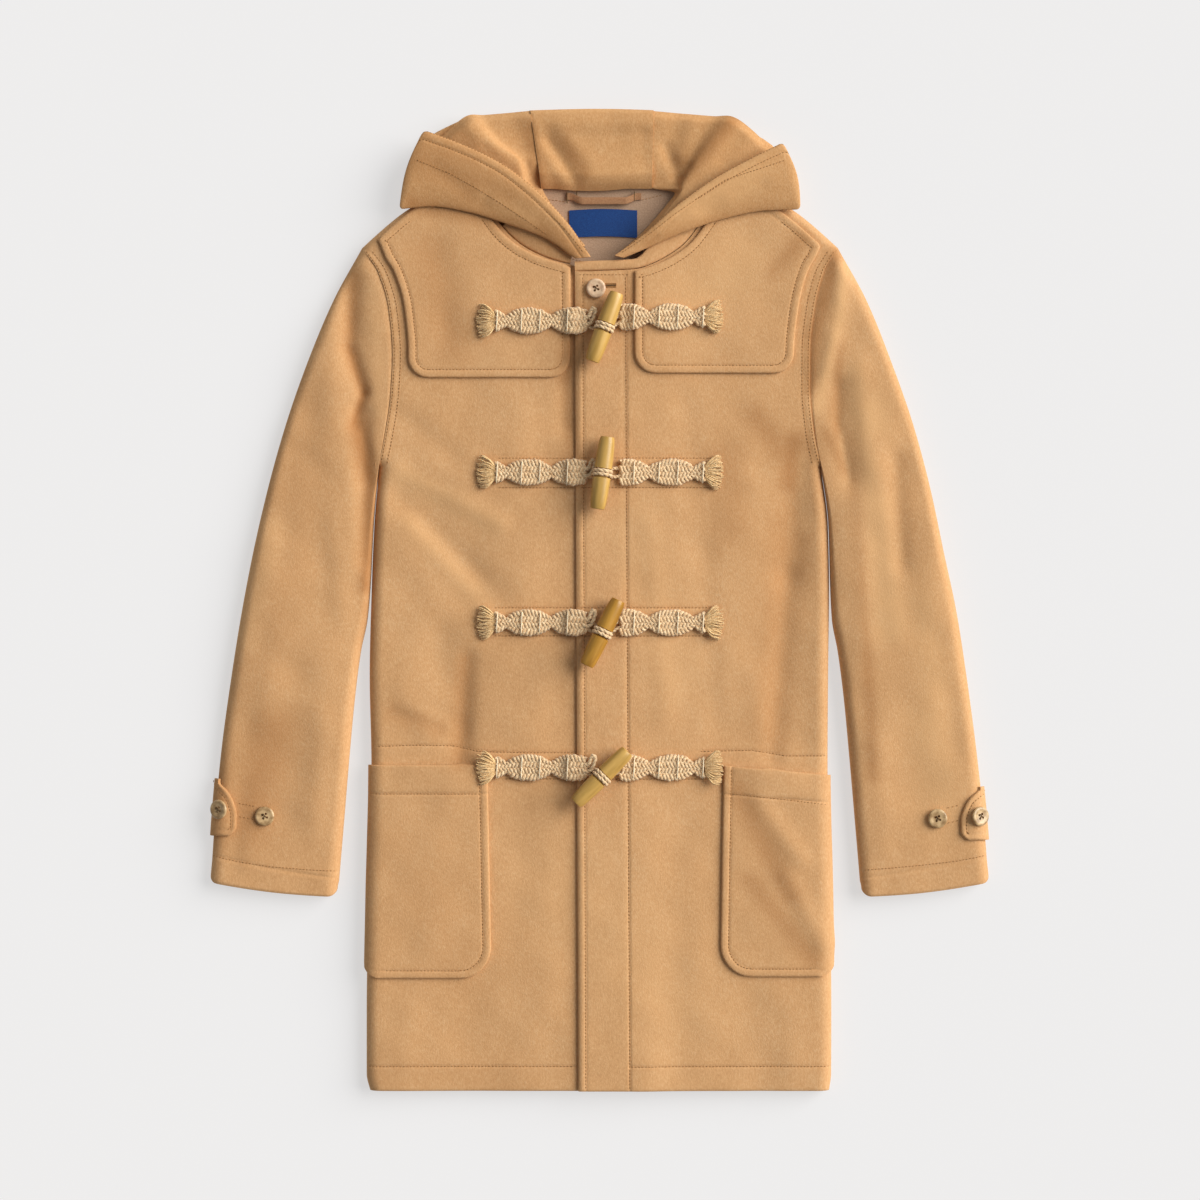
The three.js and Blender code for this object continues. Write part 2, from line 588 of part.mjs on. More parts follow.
// The neck band stands along the front neck seam, inside it, and widens as it climbs under the brims.
const BAND = { width: 7.8, wall: 2.4, crown: 1.2, sink: 0.4, endY: 300, start: { left: 24, right: -20 } };
const BAND_WIDENS = {
  left: [{ y: 262, add: 0, lift: 0 }, { y: 268.2, add: 0, lift: 0 }, { y: 274, add: 5, lift: 1.8 },
    { y: 284, add: 8, lift: 3.1 }, { y: 300, add: 3, lift: 3.1 }],
  right: [{ y: 262, add: 0, lift: 0 }, { y: 264, add: 0, lift: 0 }, { y: 268, add: 3, lift: 1 },
    { y: 274, add: 6, lift: 2 }, { y: 284, add: 8, lift: 2.4 }, { y: 300, add: 6, lift: 2 }],
};
function neckBand(name) {
  const start = new THREE.Vector2(BAND.start[name], name === 'left' ? 268.2 : 262);
  const rest = FRONT_NECK_ROWS.filter((y) => y > start.y + 0.5 && y < BAND.endY)
    .map((y) => new THREE.Vector2(readTable(NECK_SEAM, 'y', y, name), y));
  const seam = [start, ...rest];
  const grid = seam.map((p, i) => {
    const ahead = seam[Math.min(seam.length - 1, i + 1)].clone().sub(seam[Math.max(0, i - 1)]).normalize();
    const inwards = new THREE.Vector2(-ahead.y, ahead.x);
    const add = readTable(BAND_WIDENS[name], 'y', p.y, 'add');
    const lift = readTable(BAND_WIDENS[name], 'y', p.y, 'lift');
    return [0, 0.5, 1].map((share) => {
      const place = p.clone().addScaledVector(inwards, 0.5 + (BAND.width + add) * share);
      const z = frontHeight(name, p.x, p.y) - BAND.sink + lift * share
        + BAND.crown * Math.sin(Math.PI * (0.15 + 0.7 * share)) * (1 - lift / 4);
      return new THREE.Vector3(side(name) * place.x, place.y, z);
    });
  });
  return slab(grid, BAND.wall);
}

// The hood, folded behind the neck.
const HOOD = { foldsTop: 10.8, wall: 3, brimWall: 4, brimBase: 18.6, hollow: 2.4 };
const HOOD_TOP = [
  { x: -158, y: 326 }, { x: -152, y: 344 }, { x: -142, y: 368 }, { x: -124, y: 380 }, { x: -104, y: 387.6 },
  { x: -56, y: 391.2 }, { x: 0, y: 392.5 }, { x: 43, y: 391.4 }, { x: 98, y: 388 }, { x: 118, y: 378 },
  { x: 140, y: 364 }, { x: 151, y: 344 }, { x: 158, y: 325 },
];
// How the edges of the hidden layers stand out and draw in, up the height of the folded hood.
const LAYER_EDGE = [
  { inset: 10, z: 1 }, { inset: 3.4, z: 0.94 }, { inset: 1.6, z: 0.8 }, { inset: 3.6, z: 0.6 },
  { inset: 1.6, z: 0.36 }, { inset: 3.2, z: 0.1 }, { inset: 7, z: 0 },
];
// The layers are thickest at their ends, where the brim lies on them.
const FOLD_COLUMNS = [
  { x: 157, top: 13 }, { x: 153, top: 17.4 }, { x: 147, top: 17.2 }, { x: 142.6, top: 10.4 },
  { x: 124, top: 10.4 }, { x: 104, top: HOOD.foldsTop }, { x: 82, top: HOOD.foldsTop }, { x: 50, top: HOOD.foldsTop },
  { x: 16, top: HOOD.foldsTop },
];
function hoodFolds() {
  const columns = [...FOLD_COLUMNS.map((row) => ({ ...row, x: -row.x })), ...FOLD_COLUMNS.slice().reverse()];
  return loft(columns.map(({ x, top }) => {
    const low = backTopY(x) + (Math.abs(x) < 100 ? 12 : 3);
    const high = readTable(HOOD_TOP, 'x', x, 'y');
    const draw = Math.min(1, (high - low) / 24);
    const outline = LAYER_EDGE.map((row) => new THREE.Vector3(x, high - row.inset * draw, row.z * top));
    return [...outline, new THREE.Vector3(x, low + 2 * draw, 0), new THREE.Vector3(x, low, top * 0.3),
      new THREE.Vector3(x, low + 5 * draw, top * 0.9)];
  }));
}

// The hood's inner face climbs from the neck seam onto the folded layers, then turns over its top edge.
const CENTRE_SEAMS = [
  { share: 0, left: -47.4, right: 41.6 }, { share: 0.4, left: -51, right: 42.2 }, { share: 1, left: -56, right: 42.8 },
];
function hoodCentre() {
  const profile = [
    { from: 0, y: 331, z: 8.6 }, { from: 0.05, y: 336, z: 13.6 }, { from: 0.14, y: 343, z: 16.6 },
    { from: 0.35, y: 355, z: 16.4 }, { from: 0.6, y: 370, z: 17.2 }, { from: 0.82, y: 382, z: 19.4 },
    { from: 0.93, y: 389, z: 18.6 }, { from: 1, y: 392, z: 15.4 },
  ];
  const grid = profile.map((row) => Array.from({ length: 7 }, (_, i) => {
    const left = readTable(CENTRE_SEAMS, 'share', row.from, 'left') + GAP;
    const right = readTable(CENTRE_SEAMS, 'share', row.from, 'right') - GAP;
    const x = lerp(left, right, i / 6);
    const top = readTable(HOOD_TOP, 'x', x, 'y');
    const low = 330.6 + 3 * (x / 94) ** 2;
    const y = lerp(low, top, (row.y - 331) / 61);
    const crease = 1.6 * Math.exp(-(((x + 24 + (y - 345) * 0.6) / 10) ** 2)) * Math.sin(Math.PI * row.from);
    return new THREE.Vector3(x, y, row.z - crease);
  }));
  return wall(grid, moved(grid, -HOOD.wall));
}

// The hood's side faces: from the centre seam, over a soft roll, to under the turned-out brim. A row goes across.
const HOOD_SIDES = {
  left: [
    { x1: -13, y1: 284, z1: 8.5, x2: -16, y2: 282, z2: 11.5, x3: -20, y3: 280, z3: 13.6 },
    { x1: -27, y1: 300, z1: 8.5, x2: -34, y2: 296, z2: 12, x3: -44, y3: 291, z3: 14.6 },
    { x1: -47.7, y1: 331, z1: 9, x2: -58, y2: 322, z2: 14.4, x3: -72, y3: 309, z3: 15.6 },
    { x1: -50.6, y1: 350, z1: 15.4, x2: -66, y2: 350.5, z2: 19, x3: -88, y3: 333, z3: 16.2 },
    { x1: -53.6, y1: 371, z1: 17.2, x2: -86, y2: 364, z2: 20.6, x3: -107, y3: 346, z3: 16.4 },
    { x1: -56, y1: 385, z1: 19.8, x2: -101, y2: 380, z2: 20.6, x3: -124, y3: 361, z3: 16.4 },
    { x1: -56.3, y1: 391, z1: 15.6, x2: -106, y2: 387, z2: 15.4, x3: -129, y3: 368, z3: 13.6 },
  ],
  right: [
    { x1: 15.5, y1: 277.5, z1: 8.5, x2: 17.5, y2: 277, z2: 12, x3: 22, y3: 278, z3: 13.6 },
    { x1: 33.5, y1: 293, z1: 9, x2: 36, y2: 292.6, z2: 13.4, x3: 44, y3: 291, z3: 14.6 },
    { x1: 54, y1: 316, z1: 9, x2: 57, y2: 315, z2: 16, x3: 66, y3: 306, z3: 15.4 },
    { x1: 61, y1: 326, z1: 9, x2: 65, y2: 326, z2: 18.4, x3: 76, y3: 313, z3: 16 },
    { x1: 42, y1: 331, z1: 9.4, x2: 68, y2: 334, z2: 18.8, x3: 82, y3: 318, z3: 16.4 },
    { x1: 42.4, y1: 350, z1: 15.4, x2: 79, y2: 350, z2: 20.6, x3: 92, y3: 338, z3: 17 },
    { x1: 42.7, y1: 370, z1: 17, x2: 92, y2: 366, z2: 22, x3: 117, y3: 342, z3: 16.4 },
    { x1: 43, y1: 384, z1: 19.4, x2: 103, y2: 379, z2: 22, x3: 136, y3: 352, z3: 16.4 },
    { x1: 43.2, y1: 390.8, z1: 15.8, x2: 107, y2: 385.6, z2: 17, x3: 141, y3: 358, z3: 13.6 },
  ],
};
function hoodSide(name) {
  const table = HOOD_SIDES[name].map((row, i) => ({ ...row, row: i }));
  const grid = Array.from({ length: 2 * table.length - 1 }, (_, r) => {
    const read = (column) => readTable(table, 'row', r / 2, column);
    const from = new THREE.Vector3(read('x1') + side(name) * GAP, read('y1'), read('z1'));
    const crest = new THREE.Vector3(read('x2'), read('y2'), read('z2'));
    const hollow = from.clone().lerp(crest, 0.66);
    hollow.z -= HOOD.hollow * smooth(from.distanceTo(crest), 12, 28);
    const curve = new THREE.CatmullRomCurve3([from, hollow, crest,
      new THREE.Vector3(read('x3'), read('y3'), read('z3'))]);
    return Array.from({ length: 7 }, (_, c) => curve.getPoint(c / 6));
  });
  return wall(grid, moved(grid, -HOOD.wall));
}

// The turned-out brim: from its lower fold on the shoulder to its free stitched edge.
const BRIMS = {
  left: [
    { foldX: -20, foldY: 272.4, edgeX: -7.4, edgeY: 273.6, crown: 0.2 },
    { foldX: -44, foldY: 288.5, edgeX: -24.5, edgeY: 299, crown: 1.6 },
    { foldX: -76, foldY: 300.5, edgeX: -50, edgeY: 325.5, crown: 2.6 },
    { foldX: -106, foldY: 309.5, edgeX: -79, edgeY: 347.5, crown: 3 },
    { foldX: -134, foldY: 313.8, edgeX: -110, edgeY: 362.5, crown: 3 },
    { foldX: -160.9, foldY: 311.6, edgeX: -141, edgeY: 374.2, crown: 2 },
  ],
  right: [
    { foldX: 19, foldY: 272.8, edgeX: 11.6, edgeY: 274.6, crown: 0.2 },
    { foldX: 42, foldY: 282.5, edgeX: 34.5, edgeY: 291, crown: 1.4 },
    { foldX: 70, foldY: 294.5, edgeX: 62, edgeY: 314.5, crown: 2.4 },
    { foldX: 101, foldY: 304.6, edgeX: 92, edgeY: 336, crown: 3 },
    { foldX: 131, foldY: 310.5, edgeX: 120, edgeY: 351.3, crown: 3 },
    { foldX: 160.9, foldY: 311.6, edgeX: 146.4, edgeY: 364.4, crown: 2 },
  ],
};
const BRIM_ROWS = [0, 0.12, 0.25, 0.38, 0.5, 0.62, 0.75, 0.86, 0.94, 0.975, 0.995, 1];
function brimGrid(name) {
  const table = BRIMS[name].map((row, i) => ({ ...row, row: i / (BRIMS[name].length - 1) }));
  return BRIM_ROWS.map((at) => {
    const read = (column) => readTable(table, 'row', at, column);
    const fold = new THREE.Vector2(read('foldX'), read('foldY'));
    const edge = new THREE.Vector2(read('edgeX'), read('edgeY'));
    const width = fold.distanceTo(edge);
    const turn = Math.min(7, width * 0.4);
    const places = [0, 0.134, 0.5, 1].map((d) => d * turn);
    const across = [...places, ...steps(turn, width, 5).slice(1), width];
    const endRoll = rollShare((1 - at) * 170, 8);
    return across.map((d) => {
      const flat = fold.clone().lerp(edge, d / width);
      const share = Math.min(rollShare(d, turn), endRoll);
      const bow = 3.4 * Math.sin((Math.PI * d) / width) * smooth(at, 0.85, 1) * side(name);
      const base = HOOD.brimBase + read('crown') * Math.sin((Math.PI * d) / width / 1.4);
      return { x: flat.x + bow, y: flat.y, base, share };
    });
  });
}

function hoodBrim(name) {
  const half = HOOD.brimWall / 2;
  const grid = brimGrid(name);
  const face = (height) => grid.map((row) => row.map((p) => new THREE.Vector3(p.x, p.y, height(p))));
  return wall(face((p) => p.base + half + 0.2 + (half - 0.2) * p.share),
    face((p) => p.base + (half - 0.2) * (1 - p.share)));
}

// The inside of the back that shows in the open neck, with its hanging loop and its bare woven label.
const NECK_PANEL = { half: 68, top: 329.6, bottom: 262, thickness: 1.2, z: CLOTH + GAP };
function neckLining() {
  const { half, top, bottom, thickness, z } = NECK_PANEL;
  const grid = steps(bottom, top, 5).concat(top).map((y) => Array.from({ length: 7 }, (_, i) => {
    const x = lerp(-half, half, i / 6) * (0.62 + 0.38 * smooth(y, bottom, 320));
    return new THREE.Vector3(x, y, z + thickness);
  }));
  return slab(grid, thickness);
}

const LABEL = { left: -24.8, right: 29.8, bottom: 290.4, top: 312.4, rise: 0.7 };
function label() {
  const base = NECK_PANEL.z + NECK_PANEL.thickness + GAP;
  const grid = [LABEL.bottom, (LABEL.bottom + LABEL.top) / 2, LABEL.top].map((y) => (
    Array.from({ length: 7 }, (_, i) => {
      const x = lerp(LABEL.left, LABEL.right, i / 6);
      const bow = LABEL.rise * Math.sin((Math.PI * i) / 6);
      return new THREE.Vector3(x, y + bow * 1.6, base + 0.8 + bow);
    })));
  return slab(grid, 0.8);
}

const LOOP = { left: -27, right: 33, y: 319.6, width: 5.6, sag: 3.2, rise: 3, thickness: 1.6 };
function hangerLoop() {
  const base = NECK_PANEL.z + NECK_PANEL.thickness + GAP;
  const places = [0, 0.1, 0.2, 0.35, 0.5, 0.65, 0.8, 0.9, 1];
  const grid = [-0.5, 0, 0.5].map((edge) => places.map((at) => {
    const hang = smooth(at, 0.04, 0.22) * (1 - smooth(at, 0.78, 0.96));
    const y = LOOP.y + 4 - LOOP.sag * hang * 1.2 + edge * LOOP.width;
    return new THREE.Vector3(lerp(LOOP.left, LOOP.right, at), y, base + LOOP.thickness + LOOP.rise * hang);
  }));
  return slab(grid, LOOP.thickness);
}

const TAB_LIFT = 0.6;
const TAB_LEAST = 3;
// How far the tab's end draws back, by the share of its width from the bottom: a long slant above, a corner below.
const TAB_END = [
  { share: 0, inset: 7 },
  { share: 0.05, inset: 3.4 },
  { share: 0.15, inset: 0.5 },
  { share: 0.38, inset: 0.3 },
  { share: 0.6, inset: 2.8 },
  { share: 0.76, inset: 6.4 },
  { share: 0.9, inset: 12.2 },
  { share: 1, inset: 17 },
];
// Shares of the way from the sleeve's fold to the tab's end.
const TAB_PLACES = [0, 0.08, 0.3, 0.62, 1];
// Cuff tabs fold round the sleeve's outer edge and are buttoned on top.
const TABS = {
  left: { top: -143, bottom: -188.5, tip: 290 },
  right: { top: -149.5, bottom: -192, tip: 287.8 },
};
function sleeveEdgePlace(name, y, inwards) {
  const edge = readTable(SLEEVE_OUTER, 'y', y, name);
  const x = side(name) * (edge - inwards);
  return new THREE.Vector3(x, y, SEAM + (clothHeight(x, y) - SEAM) * rollShare(inwards));
}

function cuffTab(name) {
  const { top, bottom, tip } = TABS[name];
  const outer = TAB_END.map(({ share, inset }) => {
    const y = lerp(bottom, top, share);
    const to = Math.max(TAB_LEAST, readTable(SLEEVE_OUTER, 'y', y, name) - tip - inset);
    return TAB_PLACES.map((place) => sleeveEdgePlace(name, y, place * to));
  });
  return wall(moved(outer, TAB_LIFT + PATCH), moved(outer, TAB_LIFT));
}

// Four-hole buttons of horn.
const BUTTON_SIZE = { radius: 7.8, height: 3, holes: 4, holeRadius: 0.9, holeRing: 2.1, sides: 14 };
function buttonGeometry() {
  const { radius, height, holes, holeRadius, holeRing, sides } = BUTTON_SIZE;
  const profile = [
    [0, 0], [radius * 0.7, 0], [radius, height * 0.45], [radius * 0.94, height * 0.9],
    [radius * 0.8, height], [radius * 0.55, height * 0.7], [0, height * 0.6],
  ].map(([r, z]) => new THREE.Vector2(r, z));
  let solid = toSolid(new THREE.LatheGeometry(profile, sides).rotateX(Math.PI / 2));
  for (let i = 0; i < holes; i += 1) {
    const turn = (i / holes) * Math.PI * 2 + Math.PI / 4;
    const drill = new THREE.CylinderGeometry(holeRadius, holeRadius, height * 3, 4).rotateX(Math.PI / 2);
    drill.translate(holeRing * Math.cos(turn), holeRing * Math.sin(turn), 0);
    solid = solid.subtract(toSolid(drill));
  }
  return fromSolid(solid);
}

const BUTTONS = [
  { name: 'button_neck', x: -3.2, y: 248.6, lift: LAP + 1, lean: 0 },
  { name: 'button_cuff_left', x: -267.8, y: -172.6, lift: 1.2, lean: 0 },
  { name: 'button_cuff_right', x: 269.6, y: -174.4, lift: 1.2, lean: 0 },
  { name: 'button_tab_left', x: -303.6, y: -167.1, lift: 2.6, lean: -0.5 },
  { name: 'button_tab_right', x: 302.8, y: -172.6, lift: 2.6, lean: 0.5 },
];
function addButtons() {
  for (const place of BUTTONS) {
    const mesh = add(place.name, buttonGeometry(), BUTTON);
    mesh.position.set(place.x, place.y, clothHeight(place.x, place.y) + place.lift);
    mesh.rotation.y = place.lean;
  }
}

// Toggles: turned barrels with a waist that the cord grips.
const TOGGLE = { length: 58, radius: 7.1, end: 5, waist: 5, waistHalf: 2.6, sides: 12 };
const CORD = { radius: 1.7, sides: 5, gap: 0.4 };
const TOGGLES = [
  { x: 3.6, y: 217, lean: 20, left: 222.6, right: 225.6 },
  { x: 2, y: 101, lean: 8, left: 101.9, right: 101.9 },
  { x: 2, y: -26, lean: 26, left: -18, right: -18 },
  { x: 1.3, y: -140.7, lean: 45, left: -133.8, right: -133.8 },
];
const ARM_GAP = 1.1;
const ARM_Z = TOP + LAP + GAP + 0.2 + CORD.radius;
const TOGGLE_Z = ARM_Z + CORD.radius + GAP + TOGGLE.radius;
function toggleRadius(s) {
  const half = TOGGLE.length / 2;
  return TOGGLE.end + (TOGGLE.radius - TOGGLE.end) * Math.sqrt(1 - (s / half) ** 2 * 0.96);
}

function toggleGeometry() {
  const half = TOGGLE.length / 2;
  const { waist, waistHalf } = TOGGLE;
  const places = [waistHalf + 1, lerp(waistHalf, half, 0.55), half - 0.8];
  const upper = places.map((s) => [toggleRadius(s), s]);
  const lower = places.slice().reverse().map((s) => [toggleRadius(s), -s]);
  const cut = toggleRadius(half) - 0.8;
  const profile = [[0, -half], [cut, -half], ...lower, [waist, -waistHalf], [waist, waistHalf], ...upper,
    [cut, half], [0, half]];
  return new THREE.LatheGeometry(profile.map(([r, y]) => new THREE.Vector2(r, y)), TOGGLE.sides);
}

// A cord tube along a list of places.
function cordGeometry(places, closed = false) {
  const path = new THREE.CatmullRomCurve3(places, closed);
  const section = new THREE.Shape(Array.from({ length: CORD.sides }, (_, i) => {
    const turn = (i / CORD.sides) * Math.PI * 2;
    return new THREE.Vector2(CORD.radius * Math.cos(turn), CORD.radius * Math.sin(turn));
  }));
  return new THREE.ExtrudeGeometry(section, { steps: closed ? 10 : 2, extrudePath: path, bevelEnabled: false });
}

// The cord grips the toggle's waist, with one arm to the left braid and two to the right one.
function cordLoop(toggle, middle) {
  const lean = THREE.MathUtils.degToRad(-toggle.lean);
  const across = new THREE.Vector3(Math.cos(lean), Math.sin(lean), 0);
  const up = new THREE.Vector3(0, 0, 1);
  const ring = TOGGLE.waist + CORD.gap + CORD.radius;
  const round = Array.from({ length: 10 }, (_, i) => {
    const turn = (i / 10) * Math.PI * 2;
    return middle.clone().addScaledVector(across, ring * Math.cos(turn)).addScaledVector(up, ring * Math.sin(turn));
  });
  const under = middle.clone().setZ(ARM_Z + middle.z - TOGGLE_Z);
  const arm = (toX, toY) => [under, under.clone().lerp(new THREE.Vector3(toX, toY, under.z), 0.5),
    new THREE.Vector3(toX, toY, under.z)];
  const pieces = [
    cordGeometry(round, true),
    cordGeometry(arm(BRAID_ENDS.left + ARM_GAP, toggle.left)),
    cordGeometry(arm(BRAID_ENDS.right - ARM_GAP, toggle.right - 2.2)),
    cordGeometry(arm(BRAID_ENDS.right - ARM_GAP, toggle.right + 2.2)),
  ];
  return fromSolid(pieces.map(toSolid).reduce((sum, piece) => sum.add(piece)));
}

// Braid tabs of jute: flat, pinched at their waists, with a frayed end.
const BRAID_ENDS = { left: -11, right: 16 };
const BRAID_OUTER = { left: -83.4, right: 83.4 };
const BRAID_SIZE = { wide: 9.8, waist: 4.2, thickness: 3.4, waistX: 39, pitch: 36 };
function braidHalf(x) {
  const wave = Math.abs(Math.sin((Math.PI * (Math.abs(x) - BRAID_SIZE.waistX)) / BRAID_SIZE.pitch));
  return lerp(BRAID_SIZE.waist, BRAID_SIZE.wide, wave ** 0.6);
}

// The highest face under a braid: the front, the shoulder patch on it and the lap's step.
function supportZ(x, y) {
  const lap = x < 0 ? LAP * smooth(x, -32, -22) : lapHeight(x);
  const patchEdge = y > YOKES.left.bottom - 6 ? PATCH + LIFT : 0;
  const onPatch = x < 0 ? 1 - smooth(x, -24, -14) : smooth(x, 20, 28);
  return clothHeight(x, y) + lap + patchEdge * onPatch;
}

function braid(name, y) {
  const rows = Array.from({ length: 13 }, (_, i) => lerp(BRAID_ENDS[name], BRAID_OUTER[name], i / 12));
  const grid = rows.map((x) => {
    const half = braidHalf(x);
    return [-1, -0.45, 0.45, 1].map((share) => {
      const crown = Math.abs(share) < 1 ? BRAID_SIZE.thickness : BRAID_SIZE.thickness * 0.45;
      return new THREE.Vector3(x, y + half * share, supportZ(x, y + half * share) + GAP + 0.35 + crown);
    });
  });
  const under = grid.map((row) => row.map((p) => new THREE.Vector3(p.x, p.y, supportZ(p.x, p.y) + GAP + 0.35)));
  return wall(grid, under);
}

// The frayed end of a braid: a narrow head and the strands that fan out of it in two layers.
const FRAY = { strands: 5, layers: 2, spread: 13.6, root: 6, length: 11, radius: 1, head: 2.4, overPocket: 4.1 };
function frayedEnd(name, y, tipRise) {
  const way = side(name);
  const x = BRAID_OUTER[name] + way * GAP;
  const z = supportZ(x + way * 8, y) + GAP + 0.35;
  const headHeight = 4 + tipRise * 0.4;
  const headBox = new THREE.BoxGeometry(FRAY.head, FRAY.root * 2 + 2.2, headHeight);
  headBox.translate(x + (way * FRAY.head) / 2, y, z + headHeight / 2);
  let solid = toSolid(headBox);
  for (let layer = 0; layer < FRAY.layers; layer += 1) {
    for (let i = 0; i < FRAY.strands; i += 1) {
      const share = (i / (FRAY.strands - 1)) * 2 - 1 + (layer ? 0.12 : -0.04);
      const root = new THREE.Vector3(x + way * FRAY.head * 0.6, y + share * FRAY.root,
        z + 0.9 + layer * 2 + tipRise * 0.3);
      const reachX = FRAY.length * (0.92 + 0.16 * Math.sin(i * 2.4 + layer * 1.7 + y));
      const tip = new THREE.Vector3(x + way * (FRAY.head + reachX), y + share * FRAY.spread,
        z + 0.9 + layer * 2.3 + tipRise);
      const strand = new THREE.CylinderGeometry(FRAY.radius * 0.7, FRAY.radius, 1, 3);
      strand.translate(0, 0.5, 0);
      strand.scale(1, root.distanceTo(tip), 1);
      strand.applyQuaternion(new THREE.Quaternion().setFromUnitVectors(
        new THREE.Vector3(0, 1, 0), tip.clone().sub(root).normalize()));
      strand.translate(root.x, root.y, root.z);
      solid = solid.add(toSolid(strand));
    }
  }
  return fromSolid(solid);
}

function addFastenings() {
  TOGGLES.forEach((toggle, i) => {
    const lap = clothHeight(toggle.x, toggle.y) - TOP;
    const middle = new THREE.Vector3(toggle.x, toggle.y, TOGGLE_Z + lap);
    const mesh = add(`toggle_${i + 1}`, toggleGeometry(), HORN);
    mesh.position.copy(middle);
    mesh.rotation.z = THREE.MathUtils.degToRad(-toggle.lean);
    add(`cord_loop_${i + 1}`, cordLoop(toggle, middle), BRAID);
    for (const name of ['left', 'right']) {
      add(`braid_${name}_${i + 1}`, braid(name, toggle[name]), BRAID);
      add(`frayed_end_${name}_${i + 1}`, frayedEnd(name, toggle[name], i === 3 ? FRAY.overPocket : 0), BRAID);
    }
  });
}

add('back', back(), MELTON);
for (const name of ['left', 'right']) {
  add(`front_${name}`, front(name), MELTON);
  add(`sleeve_${name}`, sleeve(name), MELTON);
  add(`yoke_${name}`, yoke(name), MELTON);
  add(`pocket_${name}`, pocket(name), MELTON);
  add(`cuff_tab_${name}`, cuffTab(name), MELTON);
  add(`neck_band_${name}`, neckBand(name), MELTON);
  add(`hood_side_${name}`, hoodSide(name), MELTON);
  add(`hood_brim_${name}`, hoodBrim(name), MELTON);
}
add('hood_centre', hoodCentre(), MELTON);
add('hood_folds', hoodFolds(), MELTON);
add('neck_lining', neckLining(), LINING);
add('hanger_loop', hangerLoop(), MELTON);
add('label', label(), RIBBON);
addButtons();
addFastenings();

// The origin is the middle of the coat's footprint, on the surface that it lies on.
coat.updateMatrixWorld(true);
const footprint = new THREE.Box3().setFromObject(coat, true);
const middle = footprint.getCenter(new THREE.Vector3());
coat.position.set(-middle.x, -middle.y, -footprint.min.z);

export default coat;
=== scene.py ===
"""A boy's hooded duffle coat laid face up: its melton, its sewing and its fastenings.

Lengths are in millimetres in the coat's own plan: +X to the right, +Y from hem to hood and +Z up from the
surface. They become metres, in the frame's own place, when a mesh is made.
"""

import logging
import math
from dataclasses import dataclass
from enum import Enum
from typing import Callable, Optional, Sequence

import bpy
import numpy as np
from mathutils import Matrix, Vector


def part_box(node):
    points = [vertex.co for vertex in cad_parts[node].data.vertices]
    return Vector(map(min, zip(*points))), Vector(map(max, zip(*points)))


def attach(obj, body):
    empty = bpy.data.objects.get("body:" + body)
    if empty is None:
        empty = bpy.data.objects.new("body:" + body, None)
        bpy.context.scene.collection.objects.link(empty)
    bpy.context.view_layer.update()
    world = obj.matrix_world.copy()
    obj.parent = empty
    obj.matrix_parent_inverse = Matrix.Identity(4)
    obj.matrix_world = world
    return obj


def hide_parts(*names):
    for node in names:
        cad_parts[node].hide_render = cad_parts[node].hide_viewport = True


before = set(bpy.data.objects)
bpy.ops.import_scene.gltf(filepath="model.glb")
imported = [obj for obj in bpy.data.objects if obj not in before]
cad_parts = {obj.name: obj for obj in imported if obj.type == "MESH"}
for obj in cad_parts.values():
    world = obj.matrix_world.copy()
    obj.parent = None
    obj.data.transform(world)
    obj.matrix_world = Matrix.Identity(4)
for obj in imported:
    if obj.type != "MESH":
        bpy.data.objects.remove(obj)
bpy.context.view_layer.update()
LOG = logging.getLogger("duffle_coat")
Array = np.ndarray
Line = tuple[tuple[float, float], ...]
Faces = list[tuple[int, ...]]
Shape = tuple[Array, Faces]
Grids = tuple[Array, Array]

MM = 0.001
CLOTH = 3.0
PATCH = 2.4
GAP = 0.3
# The cloth of two panels meets at a sewn seam but for this hair.
SEWN = 0.04
LIFT = 0.55
TOP = 15.0
SEAM = 7.0
ROLL = 10.0
LAP = 3.6
HEM_Y = -392.5
NECK_Y = 262.0
ARMPIT_Y = 106.0
TIP_Y = 281.8
CUFF_OUTER_Y = -226.0
CUFF_INNER_Y = -237.5
# Topstitching runs this far in from a seam or an edge.
STITCH_IN = 6.4
LABEL_CORNER = np.array((-24.8, 290.4, 4.8))
ORIGIN = np.array(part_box("label")[0]) - LABEL_CORNER * MM


class Side(Enum):
    """The photograph's left or right of the coat, with the way that X runs towards it."""

    LEFT = -1
    RIGHT = 1

    @property
    def word(self) -> str:
        """The side's name as the nodes write it."""
        return self.name.lower()


class Curve:
    """A smooth curve through a table's rows, which never overshoots between them."""

    def __init__(self, keys: Sequence[float], values: Sequence[float]) -> None:
        """Sorts the rows and works out the slope at each.

        Args:
            keys: Where each row is.
            values: What each row gives there.
        """
        order = np.argsort(keys)
        self.keys = np.asarray(keys, dtype=float)[order]
        self.values = np.asarray(values, dtype=float)[order]
        slopes = np.diff(self.values) / np.diff(self.keys)
        self.tangents = np.empty_like(self.values)
        self.tangents[0], self.tangents[-1] = slopes[0], slopes[-1]
        before, after = slopes[:-1], slopes[1:]
        same = before * after > 0
        total = np.where(same, before + after, 1.0)
        self.tangents[1:-1] = np.where(same, 2 * before * after / total, 0.0)

    def __call__(self, at: Array) -> Array:
        """Reads the curve.

        Args:
            at: Places along the table's keys.

        Returns:
            The curve's values there.
        """
        at = np.asarray(at, dtype=float)
        i = np.clip(np.searchsorted(self.keys, at, side="right") - 1, 0, len(self.keys) - 2)
        span = self.keys[i + 1] - self.keys[i]
        t = np.clip((at - self.keys[i]) / span, 0, 1)
        t2, t3 = t * t, t * t * t
        return ((2 * t3 - 3 * t2 + 1) * self.values[i] + (t3 - 2 * t2 + t) * span * self.tangents[i]
                + (3 * t2 - 2 * t3) * self.values[i + 1] + (t3 - t2) * span * self.tangents[i + 1])


